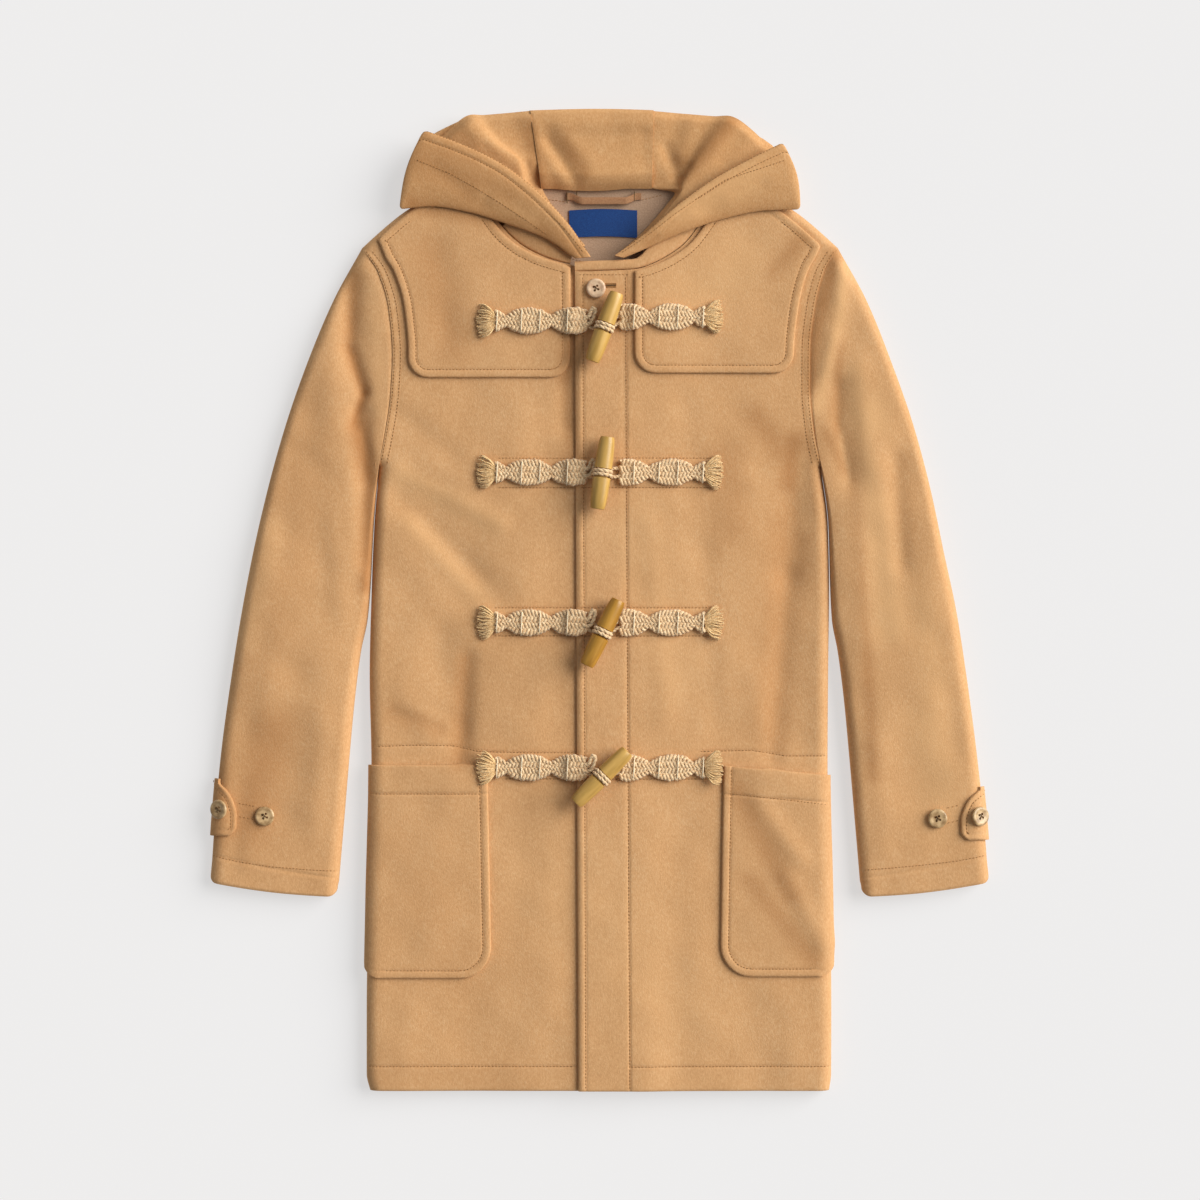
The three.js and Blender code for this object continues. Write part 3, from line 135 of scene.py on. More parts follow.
def both_sides(rows: Sequence[tuple[float, float, float]]) -> dict[Side, Curve]:
    """Two curves from rows of y, left half width and right half width."""
    table = np.array(rows)
    return {Side.LEFT: Curve(table[:, 0], table[:, 1]), Side.RIGHT: Curve(table[:, 0], table[:, 2])}


SIDE_EDGE = both_sides((
    (-392.5, 184.2, 183.6), (-380, 187, 185.2), (-330, 187, 185.4), (-240, 185.6, 184.6),
    (-131, 183.2, 182.4), (-61, 184.6, 182.8), (10, 182.9, 183.6), (60, 180.8, 182.6), (106, 177, 177),
))
ARMHOLE = both_sides((
    (106, 177, 177), (135, 171.4, 171), (167, 167, 168), (197, 165.7, 168), (232, 168.6, 171.4),
    (262, 177.1, 178.8), (281.8, 190.7, 190.7),
))
SHOULDER_ROWS = (
    (281.8, 190.7, 190.7), (290.4, 181.4, 181.4), (304, 165.7, 165.7), (312, 155, 155), (320, 141, 141),
    (327, 123, 123), (332, 106, 106), (334, 97, 97),
)
SHOULDER = both_sides(SHOULDER_ROWS)
SLEEVE_OUTER = both_sides((
    (281.8, 190.7, 190.7), (240, 213.6, 213.6), (190, 234.6, 233.8), (140, 252, 251.2), (90, 266, 264.6),
    (40, 277.6, 275.2), (-10, 287.2, 285.8), (-60, 295.2, 293.6), (-120, 303.4, 301.6), (-170, 308.2, 307),
    (-226, 312, 311.4),
))
SLEEVE_INNER = both_sides((
    (106, 177, 177), (60, 180.8, 182.6), (10, 183.4, 184), (-16, 185.8, 185.4), (-41, 191, 190),
    (-80, 196, 195), (-120, 199.8, 198.8), (-180, 204.8, 204), (-237.5, 209.7, 208.9),
))
# A negative half width is past the centre line.
NECK_SEAM = both_sides((
    (262, -18, -20), (264, 8, 28), (268, 24, 41), (274, 44, 53), (284, 63, 67), (297, 77, 77.6),
    (312, 87, 87), (334, 94, 94),
))
LAP_EDGE = both_sides(((-392.5, -18, -17.2), (262, -18, -20)))


def smooth(at: Array, low: float, high: float) -> Array:
    """A soft step from 0 at low to 1 at high."""
    t = np.clip((np.asarray(at, dtype=float) - low) / (high - low), 0, 1)
    return t * t * (3 - 2 * t)


def lerp(a: Array, b: Array, t: Array) -> Array:
    """The value a share t of the way from a to b."""
    return a + (b - a) * t


def bell(away: Array, width: float) -> Array:
    """A bell curve: 1 in its middle and about a third at its width."""
    share = away / width
    return np.exp(-share * share)


def unit(vectors: Array) -> Array:
    """The same directions with a length of one."""
    return vectors / np.maximum(np.linalg.norm(vectors, axis=-1, keepdims=True), 1e-9)


def reach(side: Side, y: Array) -> Array:
    """Half width of the body: its side fold, then the armhole, then the shoulder line."""
    y = np.asarray(y, dtype=float)
    upper = np.where(y <= TIP_Y, ARMHOLE[side](y), SHOULDER[side](y))
    return np.where(y <= ARMPIT_Y, SIDE_EDGE[side](y), upper)


def fold_distance(side: Side, half: Array, y: Array) -> Array:
    """How far a point of the body is from the folded edge nearest to it.

    Args:
        side: The side that the point is on.
        half: Its distance from the centre line.
        y: Its height up the coat.

    Returns:
        The distance in the plan.
    """
    beside = np.maximum(0, reach(side, y) - half)
    pit = np.hypot(np.maximum(0, reach(side, ARMPIT_Y) - half), y - ARMPIT_Y)
    tip = np.hypot(np.maximum(0, reach(side, TIP_Y) - half), TIP_Y - y)
    return np.where((y <= ARMPIT_Y) | (y >= TIP_Y), beside, np.minimum(pit, tip))


def roll_share(distance: Array, width: float = ROLL) -> Array:
    """Share of the full height at a distance from a folded edge: a quarter of an ellipse."""
    rest = 1 - np.clip(np.asarray(distance, dtype=float) / width, 0, 1)
    return np.sqrt(1 - rest * rest)


def rounding(distance: Array, width: float, drop: float) -> Array:
    """How far a rounded rim lies under its face at a distance from its edge, as a negative height."""
    return -drop * (1 - roll_share(distance, width))


@dataclass(frozen=True)
class Fold:
    """A soft trough or ridge along a straight line, fading away from it as a bell curve."""

    x1: float
    y1: float
    x2: float
    y2: float
    width: float
    depth: float

    def height(self, x: Array, y: Array) -> Array:
        """How much it adds to the cloth's height at places in the plan."""
        dx, dy = self.x2 - self.x1, self.y2 - self.y1
        along = np.clip(((x - self.x1) * dx + (y - self.y1) * dy) / (dx * dx + dy * dy), 0, 1)
        away = np.hypot(x - self.x1 - along * dx, y - self.y1 - along * dy)
        return self.depth * bell(away, self.width)


def folds(rows: Sequence[tuple[float, ...]]) -> tuple[Fold, ...]:
    """Folds from rows of x1, y1, x2, y2, width and depth."""
    return tuple(Fold(*row) for row in rows)


# The large folds: x1, y1, x2, y2, width, depth.
FOLDS = folds((
    (-201, 245, -192, 150, 13, -3), (-194, 135, -186, 95, 9, -2), (-232, 150, -222, 30, 20, -2.2),
    (-262, 40, -276, -60, 16, 1.6), (-240, -60, -252, -170, 18, -1.8), (194, 262, 183, 185, 9, 1.8),
    (192, 170, 200, 95, 12, -2.8), (228, 120, 232, -20, 22, -2.4), (262, 60, 278, -50, 16, 1.6),
    (240, -60, 250, -150, 18, -1.6), (-150, 92, -96, 10, 20, -1.8), (-70, 150, -62, -90, 24, 1.2),
    (-128, -30, -112, -112, 15, -1.8), (152, 100, 158, -110, 20, -2.8), (108, 130, 96, -80, 22, 1.3),
    (-110, -320, -96, -385, 24, -1.6), (60, -170, 62, -380, 20, -1.4),
))
# The lesser creases of the fronts and sleeves, in the same columns.
CREASES = folds((
    (-205, 262, -199, 214, 5, -0.9), (-197, 196, -189, 168, 4.5, -0.9), (-196, 152, -185, 116, 4.5, -0.8),
    (-212, 206, -221, 120, 11, 0.9), (-246, 120, -254, 36, 10, -0.8), (-214, 60, -205, -20, 9, 0.8),
    (-268, -20, -282, -110, 9, -0.7), (-222, -90, -228, -190, 10, 0.8), (-286, -150, -292, -214, 7, -0.6),
    (193, 278, 191, 240, 5, 0.9), (186, 211, 177, 176, 5, 0.8), (191, 172, 190, 140, 4.5, -0.9),
    (192, 138, 199, 98, 4, -0.8), (208, 190, 214, 110, 9, 0.8), (246, 140, 256, 40, 10, -0.8),
    (210, 40, 206, -60, 9, 0.7), (270, -30, 284, -120, 9, -0.7), (222, -120, 226, -200, 10, 0.7),
    (-164, 150, -120, 118, 9, -0.7), (-158, 112, -112, 96, 8, 0.6), (-170, 60, -140, 20, 10, 0.6),
    (166, 140, 128, 108, 9, -0.7), (160, 116, 124, 92, 8, 0.5), (-52, 168, -40, 60, 12, -0.6),
    (64, 168, 74, 118, 10, -0.6), (58, 80, 66, 0, 12, 0.5), (-44, -40, -50, -112, 10, 0.5),
    (-130, -88, -110, -100, 7, -0.7), (-158, -70, -140, -104, 8, 0.6), (120, -60, 132, -108, 9, 0.6),
    (-66, -180, -70, -300, 12, -0.5), (-44, -160, -40, -330, 12, 0.5), (74, -200, 78, -330, 12, 0.5),
    (-150, -330, -158, -386, 12, 0.7), (-40, -340, -34, -388, 12, -0.5), (120, -326, 128, -386, 14, -0.7),
    (150, -330, 154, -384, 10, 0.5), (40, -330, 36, -388, 12, 0.5), (-196, 259, -201, 202, 6, -1.6),
    (-201, 202, -189, 166, 5, -2.0), (-189, 166, -197, 140, 4, -2.2), (-189, 150, -187, 30, 7, -2.0),
    (-25, 220, -28, 140, 7, -1.6), (160, 118, 152, 20, 12, -1.8),
    (150, 20, 138, -125, 9, -2.2), (-106, -46, -111, -128, 7, -2.0), (-165, -90, -128, -103, 5, -1.0),
    (-162, 104, -80, 62, 8, 1.4), (-160, 80, -96, 18, 8, -1.0), (-150, 60, -84, -14, 9, 1.2),
    (236, 112, 241, 28, 8, -1.6), (222, 120, 238, -30, 10, 1.2), (-128, 282, -122, 212, 12, -1.0),
    (40, 60, 52, -90, 9, 0.8), (84, 40, 92, -100, 9, -0.7),
))
# Painted shade and painted highlight on the melton, standing in for the light on the folds, creases and brushed
# nap: a positive depth darkens the colour where the cloth lies in shade or turns from the light, and a negative
# one lightens it where it faces the light, in the same columns.
PAINTED_LIGHT_PATCHES = folds((
    (-196, 259, -201, 202, 6, 0.5), (-201, 202, -189, 166, 5, 0.62), (-189, 166, -197, 140, 4, 0.7),
    (-194, 140, -184, 96, 9, 0.65), (-184, 96, -187, 10, 7, 0.6), (-187, 10, -187, -40, 5, 0.3),
    (-135, 278, -118, 205, 18, 0.28), (-124, 262, -124, 220, 5, 0.25), (-20, 225, -27, 175, 8, 0.4),
    (-27, 175, -22, 120, 6, 0.3), (158, 118, 150, 20, 18, 0.28), (146, 60, 138, -110, 16, 0.3),
    (140, -80, 137, -106, 9, 0.32), (236, 110, 240, 30, 12, 0.22),
    (-108, -50, -112, -128, 9, 0.4), (-165, -90, -128, -104, 8, 0.28),
    (110, -152, 152, -236, 10, 0.34), (120, -224, 170, -288, 9, 0.3), (-302, -130, -306, -190, 16, 0.28),
    (-56, 378, -47, 340, 6, 0.4), (106, 383, 79, 352, 7, 0.42), (79, 352, 66, 336, 6, 0.45),
    (-150, 362, -105, 348, 16, 0.25), (-150, 316, -60, 298, 8, 0.4), (-60, 298, -20, 276, 8, 0.4),
    (150, 314, 100, 306, 6, 0.2), (100, 306, 40, 284, 6, 0.25), (-180, -380, -60, -385, 16, 0.1),
    (-235, 150, -285, -100, 34, 0.14), (-160, -200, -110, -290, 40, 0.08), (202, 130, 212, -20, 7, 0.32),
    (212, -20, 218, -140, 6, 0.35), (-28, 366, -12, 340, 6, 0.3), (62, 352, 76, 344, 6, 0.35),
    (215, 150, 232, -20, 16, -0.5), (250, 20, 270, -80, 16, -0.3), (-160, 100, -84, 60, 9, -0.35),
    (110, 270, 70, 230, 30, -0.3), (120, 340, 60, 312, 14, -0.4), (30, 60, 60, -60, 26, -0.2),
    (-20, -230, 60, -330, 50, -0.15), (-150, 60, -84, -14, 9, -0.25), (100, 190, 40, 200, 18, 0.1),
    (188, 277, 171, 211, 6, 0.5), (171, 211, 169, 168, 5, 0.45), (194, 264, 191, 225, 5, -0.5),
    (191, 225, 174, 153, 5, -0.5), (191, 203, 189, 132, 6, 0.4), (181, 134, 196, 103, 5, 0.35),
    (204, 182, 209, 125, 9, -0.4), (223, 125, 230, 90, 9, 0.4), (125, 146, 151, 111, 12, 0.35),
    (154, 126, 151, 92, 10, 0.5), (104, 116, 108, 60, 16, 0.22), (163, 112, 164, 60, 5, -0.3),
    (160, 287, 137, 261, 9, 0.35), (-262, -105, -280, -180, 24, 0.38), (262, -100, 276, -170, 20, -0.4),
    (-145, 352, -80, 318, 18, 0.3), (240, 70, 246, 20, 12, 0.25), (120, 330, 70, 306, 10, -0.35),
    (-180, 250, -176, 150, 5, -0.2), (-262, 60, -285, -30, 12, -0.3), (-92, 322, -56, 300, 8, -0.3),
))
# Melton never lies quite flat. The long shallow waves: wavelength, direction, height and phase.
WAVES = (
    (61, 0.4, 0.16, 0.3), (43, 1.9, 0.12, 1.1), (34, 2.8, 0.09, 2.2), (52, 1.2, 0.12, 4.0),
    (27, 0.8, 0.06, 5.1),
)


def cloth_height(x: Array, y: Array) -> Array:
    """Height of the cloth's outer face with its folds, away from any folded edge."""
    height = np.full(np.broadcast(x, y).shape, TOP)
    for fold in FOLDS + CREASES:
        height = height + fold.height(x, y)
    for length, turn, swing, phase in WAVES:
        bend = 1.3 * np.sin(y / 97 + phase)
        way = x * np.cos(turn) + y * np.sin(turn)
        height = height + swing * np.sin(2 * np.pi * way / length + phase + bend)
    return height


def nap_lie(x: Array, y: Array) -> Array:
    """The melton's painted shade (positive) and painted highlight (negative) at places in the plan."""
    painted_amount = np.stack([patch.height(x, y) for patch in PAINTED_LIGHT_PATCHES])
    return painted_amount.max(axis=0).clip(0) + painted_amount.min(axis=0).clip(None, 0)


def lap_height(x: Array) -> Array:
    """How far the lapped front stands over the one under it."""
    return LAP * (1 - smooth(x, 24, 110))


def front_height(side: Side, half: Array, y: Array) -> Array:
    """Height of a front's outer face."""
    x = side.value * half
    full = cloth_height(x, y) + (lap_height(x) if side is Side.RIGHT else 0)
    return SEAM + GAP / 2 + (full - SEAM) * roll_share(fold_distance(side, half, y))


def back_height(side: Side, half: Array, y: Array) -> Array:
    """Height of the back's lower face, which turns up at the folded edges."""
    return (SEAM - GAP / 2) * (1 - roll_share(fold_distance(side, half, y)))


Height = Callable[[Side, Array, Array], Array]


def body_normal(side: Side, half: Array, y: Array, height: Height) -> Array:
    """Outward normals of a body face. Past the edge the slope is read just inside it.

    Args:
        side: The side that the points are on.
        half: Their distances from the centre line.
        y: Their heights up the coat.
        height: The face's height function.

    Returns:
        Unit vectors, one for each point.
    """
    step = 0.4
    inside = np.minimum(half, reach(side, y) - step)
    slope = (height(side, inside + step, y) - height(side, inside - step, y)) / (2 * step)
    edge = (height(side, half, y) - height(side, inside, y)) / step
    across = np.where(half > inside, edge, slope)
    along = (height(side, inside, y + step) - height(side, inside, y - step)) / (2 * step)
    up = -1.0 if height is back_height else 1.0
    return unit(np.stack((-up * side.value * across, -up * along, np.full_like(across, up)), axis=-1))


def turn_places(count: int = 7) -> Array:
    """Distances from a folded edge where its turn is cut into equal angles."""
    return ROLL * (1 - np.cos(np.arange(count) * np.pi / 2 / count))


def stations(start: float, stop: float, step: float) -> Array:
    """Places between two folded ends: close together in each turn and even between the turns."""
    way = math.copysign(1, stop - start)
    count = max(2, round((abs(stop - start) - 2 * ROLL) / step))
    middle = np.linspace(start + way * ROLL, stop - way * ROLL, count + 1)
    return np.concatenate((start + way * turn_places(), middle, (stop - way * turn_places())[::-1]))


# Round a sewn line: how far the places are close, how close they are, and the least distance between two.
SEWN_REACH = 2.8
SEWN_STEP = 0.8
LEAST_STEP = 0.25


def spaced(start: float, stop: float, step: float, fine: Sequence[float]) -> Array:
    """Places a step apart, and closer together round the sewn lines.

    Args:
        start: First place.
        stop: Last place, above the first.
        step: Distance between places.
        fine: Where the sewn lines are.

    Returns:
        The places in order.
    """
    places = list(np.linspace(start, stop, max(2, round((stop - start) / step) + 1)))
    for line in fine:
        places = [p for p in places if abs(p - line) > SEWN_REACH or p in (start, stop)]
        near = line + np.arange(-SEWN_REACH, SEWN_REACH + 0.01, SEWN_STEP)
        places += [p for p in near if start + 0.3 < p < stop - 0.3]
    places = sorted(set(places))
    kept = [places[0]]
    for place in places[1:]:
        if place - kept[-1] > LEAST_STEP:
            kept.append(place)
    kept[-1] = stop
    return np.array(kept)


def grid_normals(grid: Array, ring: bool = False) -> Array:
    """Unit normals of a grid of points, not yet turned to a side."""
    if ring:
        across = np.roll(grid, -1, axis=1) - np.roll(grid, 1, axis=1)
    else:
        across = np.gradient(grid, axis=1)
    return unit(np.cross(across, np.gradient(grid, axis=0)))


def moved(grid: Array, distance: float, ring: bool = False) -> Array:
    """A grid moved out along its own normals, outwards being up at its middle."""
    normal = grid_normals(grid, ring)
    rows, cols = grid.shape[:2]
    probe = normal[rows // 2, cols // 4 if ring else cols // 2]
    return grid + normal * distance * (1 if probe[2] > 0 else -1)


def place_distance(x: Array, y: Array, line: Sequence[tuple[float, float]]) -> Array:
    """Distance in the plan from places to a line of points."""
    best = np.full(np.broadcast(x, y).shape, 1e9)
    for (ax, ay), (bx, by) in zip(line[:-1], line[1:]):
        dx, dy = bx - ax, by - ay
        size = max(dx * dx + dy * dy, 1e-9)
        t = np.clip(((x - ax) * dx + (y - ay) * dy) / size, 0, 1)
        best = np.minimum(best, np.hypot(x - ax - t * dx, y - ay - t * dy))
    return best


def make_piece(name: str, points: Array, faces: Faces, material: bpy.types.Material,
               crisp: float = 50.0) -> bpy.types.Object:
    """Makes an object of a mesh given in the coat's plan, with its faces turned outwards.

    Args:
        name: The piece's name.
        points: Its corners in millimetres.
        faces: Its faces as rows of corner numbers.
        material: Its finish.
        crisp: Edges that turn more than this many degrees stay sharp.

    Returns:
        The new object.
    """
    corners = np.asarray(points, dtype=float).reshape(-1, 3)
    middle = corners.mean(axis=0)
    volume = 0.0
    for face in faces:
        a, b, c = (corners[i] - middle for i in face[:3])
        volume += float(np.dot(a, np.cross(b, c)))
        if len(face) == 4:
            volume += float(np.dot(a, np.cross(c, corners[face[3]] - middle)))
    if volume < 0:
        faces = [tuple(reversed(face)) for face in faces]
    mesh = bpy.data.meshes.new(name)
    mesh.from_pydata((corners * MM + ORIGIN).tolist(), [], [tuple(int(i) for i in face) for face in faces])
    mesh.update()
    mesh.materials.append(material)
    # The melton carries its painted shade and painted highlight in a point attribute.
    if name.endswith("melton"):
        painted_amount = mesh.attributes.new("nap", "FLOAT", "POINT")
        painted_amount.data.foreach_set("value", nap_lie(corners[:, 0], corners[:, 1]).astype(np.float32))
    piece = bpy.data.objects.new(name, mesh)
    bpy.context.collection.objects.link(piece)
    select_only(piece)
    bpy.ops.object.shade_smooth_by_angle(angle=math.radians(crisp))
    return piece


def select_only(*pieces: bpy.types.Object) -> None:
    """Selects these pieces alone and makes the first one active."""
    bpy.ops.object.select_all(action="DESELECT")
    for piece in pieces:
        piece.select_set(True)
    bpy.context.view_layer.objects.active = pieces[0]


def wall_faces(rows: int, cols: int, ring: bool = False) -> Faces:
    """The faces of a closed wall between two grids of points, the outer one first.

    Args:
        rows: Rows of each grid.
        cols: Columns of each grid.
        ring: Whether the columns run round and meet.

    Returns:
        The faces.
    """
    index = np.arange(rows * cols).reshape(rows, cols)
    if ring:
        index = np.concatenate((index, index[:, :1]), axis=1)
    a, b, c, d = index[:-1, :-1], index[:-1, 1:], index[1:, 1:], index[1:, :-1]
    under = rows * cols
    parts = [np.stack((a, b, c, d), axis=-1).reshape(-1, 4),
             np.stack((a, d, c, b), axis=-1).reshape(-1, 4) + under]

    def rim(line: Array) -> Array:
        """Faces from a line of outer corners to the inner ones."""
        return np.stack((line[1:], line[:-1], line[:-1] + under, line[1:] + under), axis=-1)

    parts += [rim(index[0]), rim(index[-1][::-1])]
    if not ring:
        parts += [rim(index[:, 0][::-1]), rim(index[:, -1])]
    return [tuple(face) for face in np.concatenate(parts).tolist()]


def tube_faces(rows: int, cols: int) -> Faces:
    """The faces of a tube of rings, one after the other, with a cap at each end."""
    faces = [(r * cols + c, r * cols + (c + 1) % cols, (r + 1) * cols + (c + 1) % cols, (r + 1) * cols + c)
             for r in range(rows - 1) for c in range(cols)]
    last = (rows - 1) * cols
    return faces + [tuple(range(cols))[::-1], tuple(last + c for c in range(cols))]


def cloth_wall(name: str, outer: Array, inner: Array, material: bpy.types.Material,
               ring: bool = False) -> bpy.types.Object:
    """Makes a closed wall of cloth between two grids of points."""
    rows, cols = outer.shape[:2]
    points = np.concatenate((outer.reshape(-1, 3), inner.reshape(-1, 3)))
    return make_piece(name, points, wall_faces(rows, cols, ring), material)


def grid_area(grid: Array, ring: bool = False) -> float:
    """Area of a grid's surface in square millimetres."""
    if ring:
        grid = np.concatenate((grid, grid[:, :1]), axis=1)
    a, b, c, d = grid[:-1, :-1], grid[:-1, 1:], grid[1:, 1:], grid[1:, :-1]
    first = np.linalg.norm(np.cross(b - a, c - a), axis=-1)
    second = np.linalg.norm(np.cross(c - a, d - a), axis=-1)
    return float((first + second).sum() / 2)


@dataclass(frozen=True)
class Cut:
    """The flat size of a sheet's pattern piece, in millimetres, and what the sheet lies on."""

    width: float
    length: float
    rests_on: tuple[str, ...] = ()

    def declare(self, piece: bpy.types.Object, node: str, slot: str, area: float) -> None:
        """Attaches the piece to the root, hides the CAD node that it stands for and logs its cut and area.

        Args:
            piece: The piece of cloth.
            node: The CAD node that it stands for.
            slot: The material slot that its finish comes from; not used.
            area: Its flat area in square millimetres.
        """
        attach(piece, "root")
        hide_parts(node)
        list(self.rests_on)
        LOG.info("%s: cut %.0f by %.0f mm, %.4f square metres", piece.name, self.width, self.length,
                 area * MM * MM)


def srgb(code: str) -> tuple[float, float, float, float]:
    """Turns a hex colour into linear red, green, blue and alpha."""
    channels = (int(code[i:i + 2], 16) / 255 for i in (1, 3, 5))
    linear = [c / 12.92 if c <= 0.04045 else ((c + 0.055) / 1.055) ** 2.4 for c in channels]
    return (*linear, 1.0)


def plug(tree: bpy.types.NodeTree, node: bpy.types.Node, sockets: dict) -> None:
    """Sets a node's input sockets, or links output sockets to them."""
    for key, value in sockets.items():
        if isinstance(value, bpy.types.NodeSocket):
            tree.links.new(value, node.inputs[key])
        else:
            node.inputs[key].default_value = value


def add_node(tree: bpy.types.NodeTree, kind: str, sockets: Optional[dict] = None,
             **settings: object) -> bpy.types.Node:
    """Adds a node, sets its properties, and sets or links its sockets.

    Args:
        tree: The material's tree.
        kind: The node's type.
        sockets: Values for input sockets, or output sockets to link to them.
        settings: The node's own properties.

    Returns:
        The new node.
    """
    node = tree.nodes.new(kind)
    for key, value in settings.items():
        setattr(node, key, value)
    plug(tree, node, sockets or {})
    return node


def new_material(name: str) -> tuple[bpy.types.Material, bpy.types.NodeTree, bpy.types.Node]:
    """A new material with its tree and its main shader."""
    material = bpy.data.materials.new(name)
    material.use_nodes = True
    tree = material.node_tree
    return material, tree, tree.nodes["Principled BSDF"]


@dataclass(frozen=True)
class Melton:
    """Camel melton wool, fulled and brushed: a dense matt cloth under a short nap that catches the light."""

    name: str = "melton_wool_brushed"
    shade: str = "#BE8E5F"
    body: str = "#CFA070"
    light: str = "#DFB88B"
    # The colours that the painted shade and the painted highlight mix towards.
    deep: str = "#935B2B"
    bloom: str = "#E4B681"

    def make(self) -> bpy.types.Material:
        """Builds the cloth's material.

        Returns:
            The material.
        """
        material, tree, shader = new_material(self.name)
        place = add_node(tree, "ShaderNodeTexCoord").outputs["Object"]
        # The nap is brushed down the cloth, so its tufts are about 1.2 mm wide and twice as long.
        brushed = add_node(tree, "ShaderNodeMapping", {"Vector": place, "Scale": (1.0, 0.5, 1.0)})
        tufts = add_node(tree, "ShaderNodeTexNoise", {"Vector": brushed.outputs["Vector"], "Scale": 820.0,
                                                      "Detail": 3.0, "Roughness": 0.62})
        # Fulling leaves the felt a little uneven every 6 mm, and handling leaves soft clouds of 60 mm.
        felt = add_node(tree, "ShaderNodeTexNoise", {"Vector": brushed.outputs["Vector"], "Scale": 150.0,
                                                     "Detail": 2.0})
        clouds = add_node(tree, "ShaderNodeTexNoise", {"Vector": place, "Scale": 16.0, "Detail": 2.0})
        mix = add_node(tree, "ShaderNodeMath", {0: tufts.outputs["Fac"], 1: 0.7}, operation="MULTIPLY")
        mix = add_node(tree, "ShaderNodeMath", {0: felt.outputs["Fac"], 1: 0.14, 2: mix.outputs[0]},
                       operation="MULTIPLY_ADD")
        mix = add_node(tree, "ShaderNodeMath", {0: clouds.outputs["Fac"], 1: 0.16, 2: mix.outputs[0]},
                       operation="MULTIPLY_ADD")
        ramp = add_node(tree, "ShaderNodeValToRGB", {"Fac": mix.outputs[0]})
        ramp.color_ramp.elements[0].position = 0.24
        ramp.color_ramp.elements[0].color = srgb(self.shade)
        ramp.color_ramp.elements[1].position = 0.8
        ramp.color_ramp.elements[1].color = srgb(self.light)
        ramp.color_ramp.elements.new(0.5).color = srgb(self.body)
        fibre = add_node(tree, "ShaderNodeTexNoise", {"Vector": brushed.outputs["Vector"], "Scale": 1500.0,
                                                      "Detail": 2.0, "Roughness": 0.7})
        relief = add_node(tree, "ShaderNodeMath", {0: tufts.outputs["Fac"], 1: 0.6, 2: fibre.outputs["Fac"]},
                          operation="MULTIPLY_ADD")
        bump = add_node(tree, "ShaderNodeBump", {"Height": relief.outputs[0], "Strength": 0.42,
                                                 "Distance": 0.0006})
        # Painted shade and painted highlight: where the point attribute is positive the colour is mixed towards
        # a darker, warmer brown, and where it is negative towards a light tan, standing in for the light on the
        # folds and the brushed nap.
        painted_amount = add_node(tree, "ShaderNodeAttribute", attribute_name="nap").outputs["Fac"]
        turned = add_node(tree, "ShaderNodeMath", {0: painted_amount, 1: 0.0}, operation="MAXIMUM")
        highlight_share = add_node(tree, "ShaderNodeMath", {0: painted_amount, 1: -1.0}, operation="MULTIPLY", use_clamp=True)
        deep = add_node(tree, "ShaderNodeMixRGB", {"Fac": turned.outputs[0], "Color1": ramp.outputs["Color"],
                                                   "Color2": srgb(self.deep)})
        cloth = add_node(tree, "ShaderNodeMixRGB", {"Fac": highlight_share.outputs[0], "Color1": deep.outputs["Color"],
                                                    "Color2": srgb(self.bloom)})
        plug(tree, shader, {"Base Color": cloth.outputs["Color"], "Normal": bump.outputs["Normal"],
                            "Roughness": 0.96, "Specular IOR Level": 0.12, "Sheen Weight": 0.22,
                            "Sheen Roughness": 0.45, "Sheen Tint": srgb("#F0D2A4")})
        return material


@dataclass(frozen=True)
class PlainCloth:
    """A plain woven cloth or thread: one colour with a fine fleck, and a fine weave in relief."""

    name: str
    dark: str
    light: str
    threads_per_m: float
    roughness: float
    sheen: float = 0.1

    def make(self) -> bpy.types.Material:
        """Builds the material.

        Returns:
            The material.
        """
        material, tree, shader = new_material(self.name)
        place = add_node(tree, "ShaderNodeTexCoord").outputs["Object"]
        fleck = add_node(tree, "ShaderNodeTexNoise", {"Vector": place, "Scale": self.threads_per_m,
                                                      "Detail": 3.0, "Roughness": 0.6})
        ramp = add_node(tree, "ShaderNodeValToRGB", {"Fac": fleck.outputs["Fac"]})
        ramp.color_ramp.elements[0].position = 0.34
        ramp.color_ramp.elements[0].color = srgb(self.dark)
        ramp.color_ramp.elements[1].position = 0.66
        ramp.color_ramp.elements[1].color = srgb(self.light)
        bump = add_node(tree, "ShaderNodeBump", {"Height": fleck.outputs["Fac"], "Strength": 0.4,
                                                 "Distance": 0.0004})
        plug(tree, shader, {"Base Color": ramp.outputs["Color"], "Normal": bump.outputs["Normal"],
                            "Roughness": self.roughness, "Specular IOR Level": 0.25,
                            "Sheen Weight": self.sheen})
        return material


@dataclass(frozen=True)
class Horn:
    """Polished horn: a warm body with a grain along it, waxed to a soft gloss."""

    name: str
    dark: str
    light: str
    grain_per_m: float
    stretch: tuple[float, float, float] = (1.0, 1.0, 1.0)
    turn: float = 0.0
    roughness: float = 0.34

    def make(self) -> bpy.types.Material:
        """Builds the material.

        Returns:
            The material.
        """
        material, tree, shader = new_material(self.name)
        place = add_node(tree, "ShaderNodeTexCoord").outputs["Object"]
        along = add_node(tree, "ShaderNodeMapping", {"Vector": place, "Rotation": (0.0, 0.0, self.turn)})
        grain = add_node(tree, "ShaderNodeMapping", {"Vector": along.outputs["Vector"], "Scale": self.stretch})
        streaks = add_node(tree, "ShaderNodeTexNoise", {"Vector": grain.outputs["Vector"],
                                                        "Scale": self.grain_per_m, "Detail": 4.0})
        ramp = add_node(tree, "ShaderNodeValToRGB", {"Fac": streaks.outputs["Fac"]})
        ramp.color_ramp.elements[0].position = 0.36
        ramp.color_ramp.elements[0].color = srgb(self.dark)
        ramp.color_ramp.elements[1].position = 0.62
        ramp.color_ramp.elements[1].color = srgb(self.light)
        plug(tree, shader, {"Base Color": ramp.outputs["Color"], "Roughness": self.roughness, "IOR": 1.54})
        return material


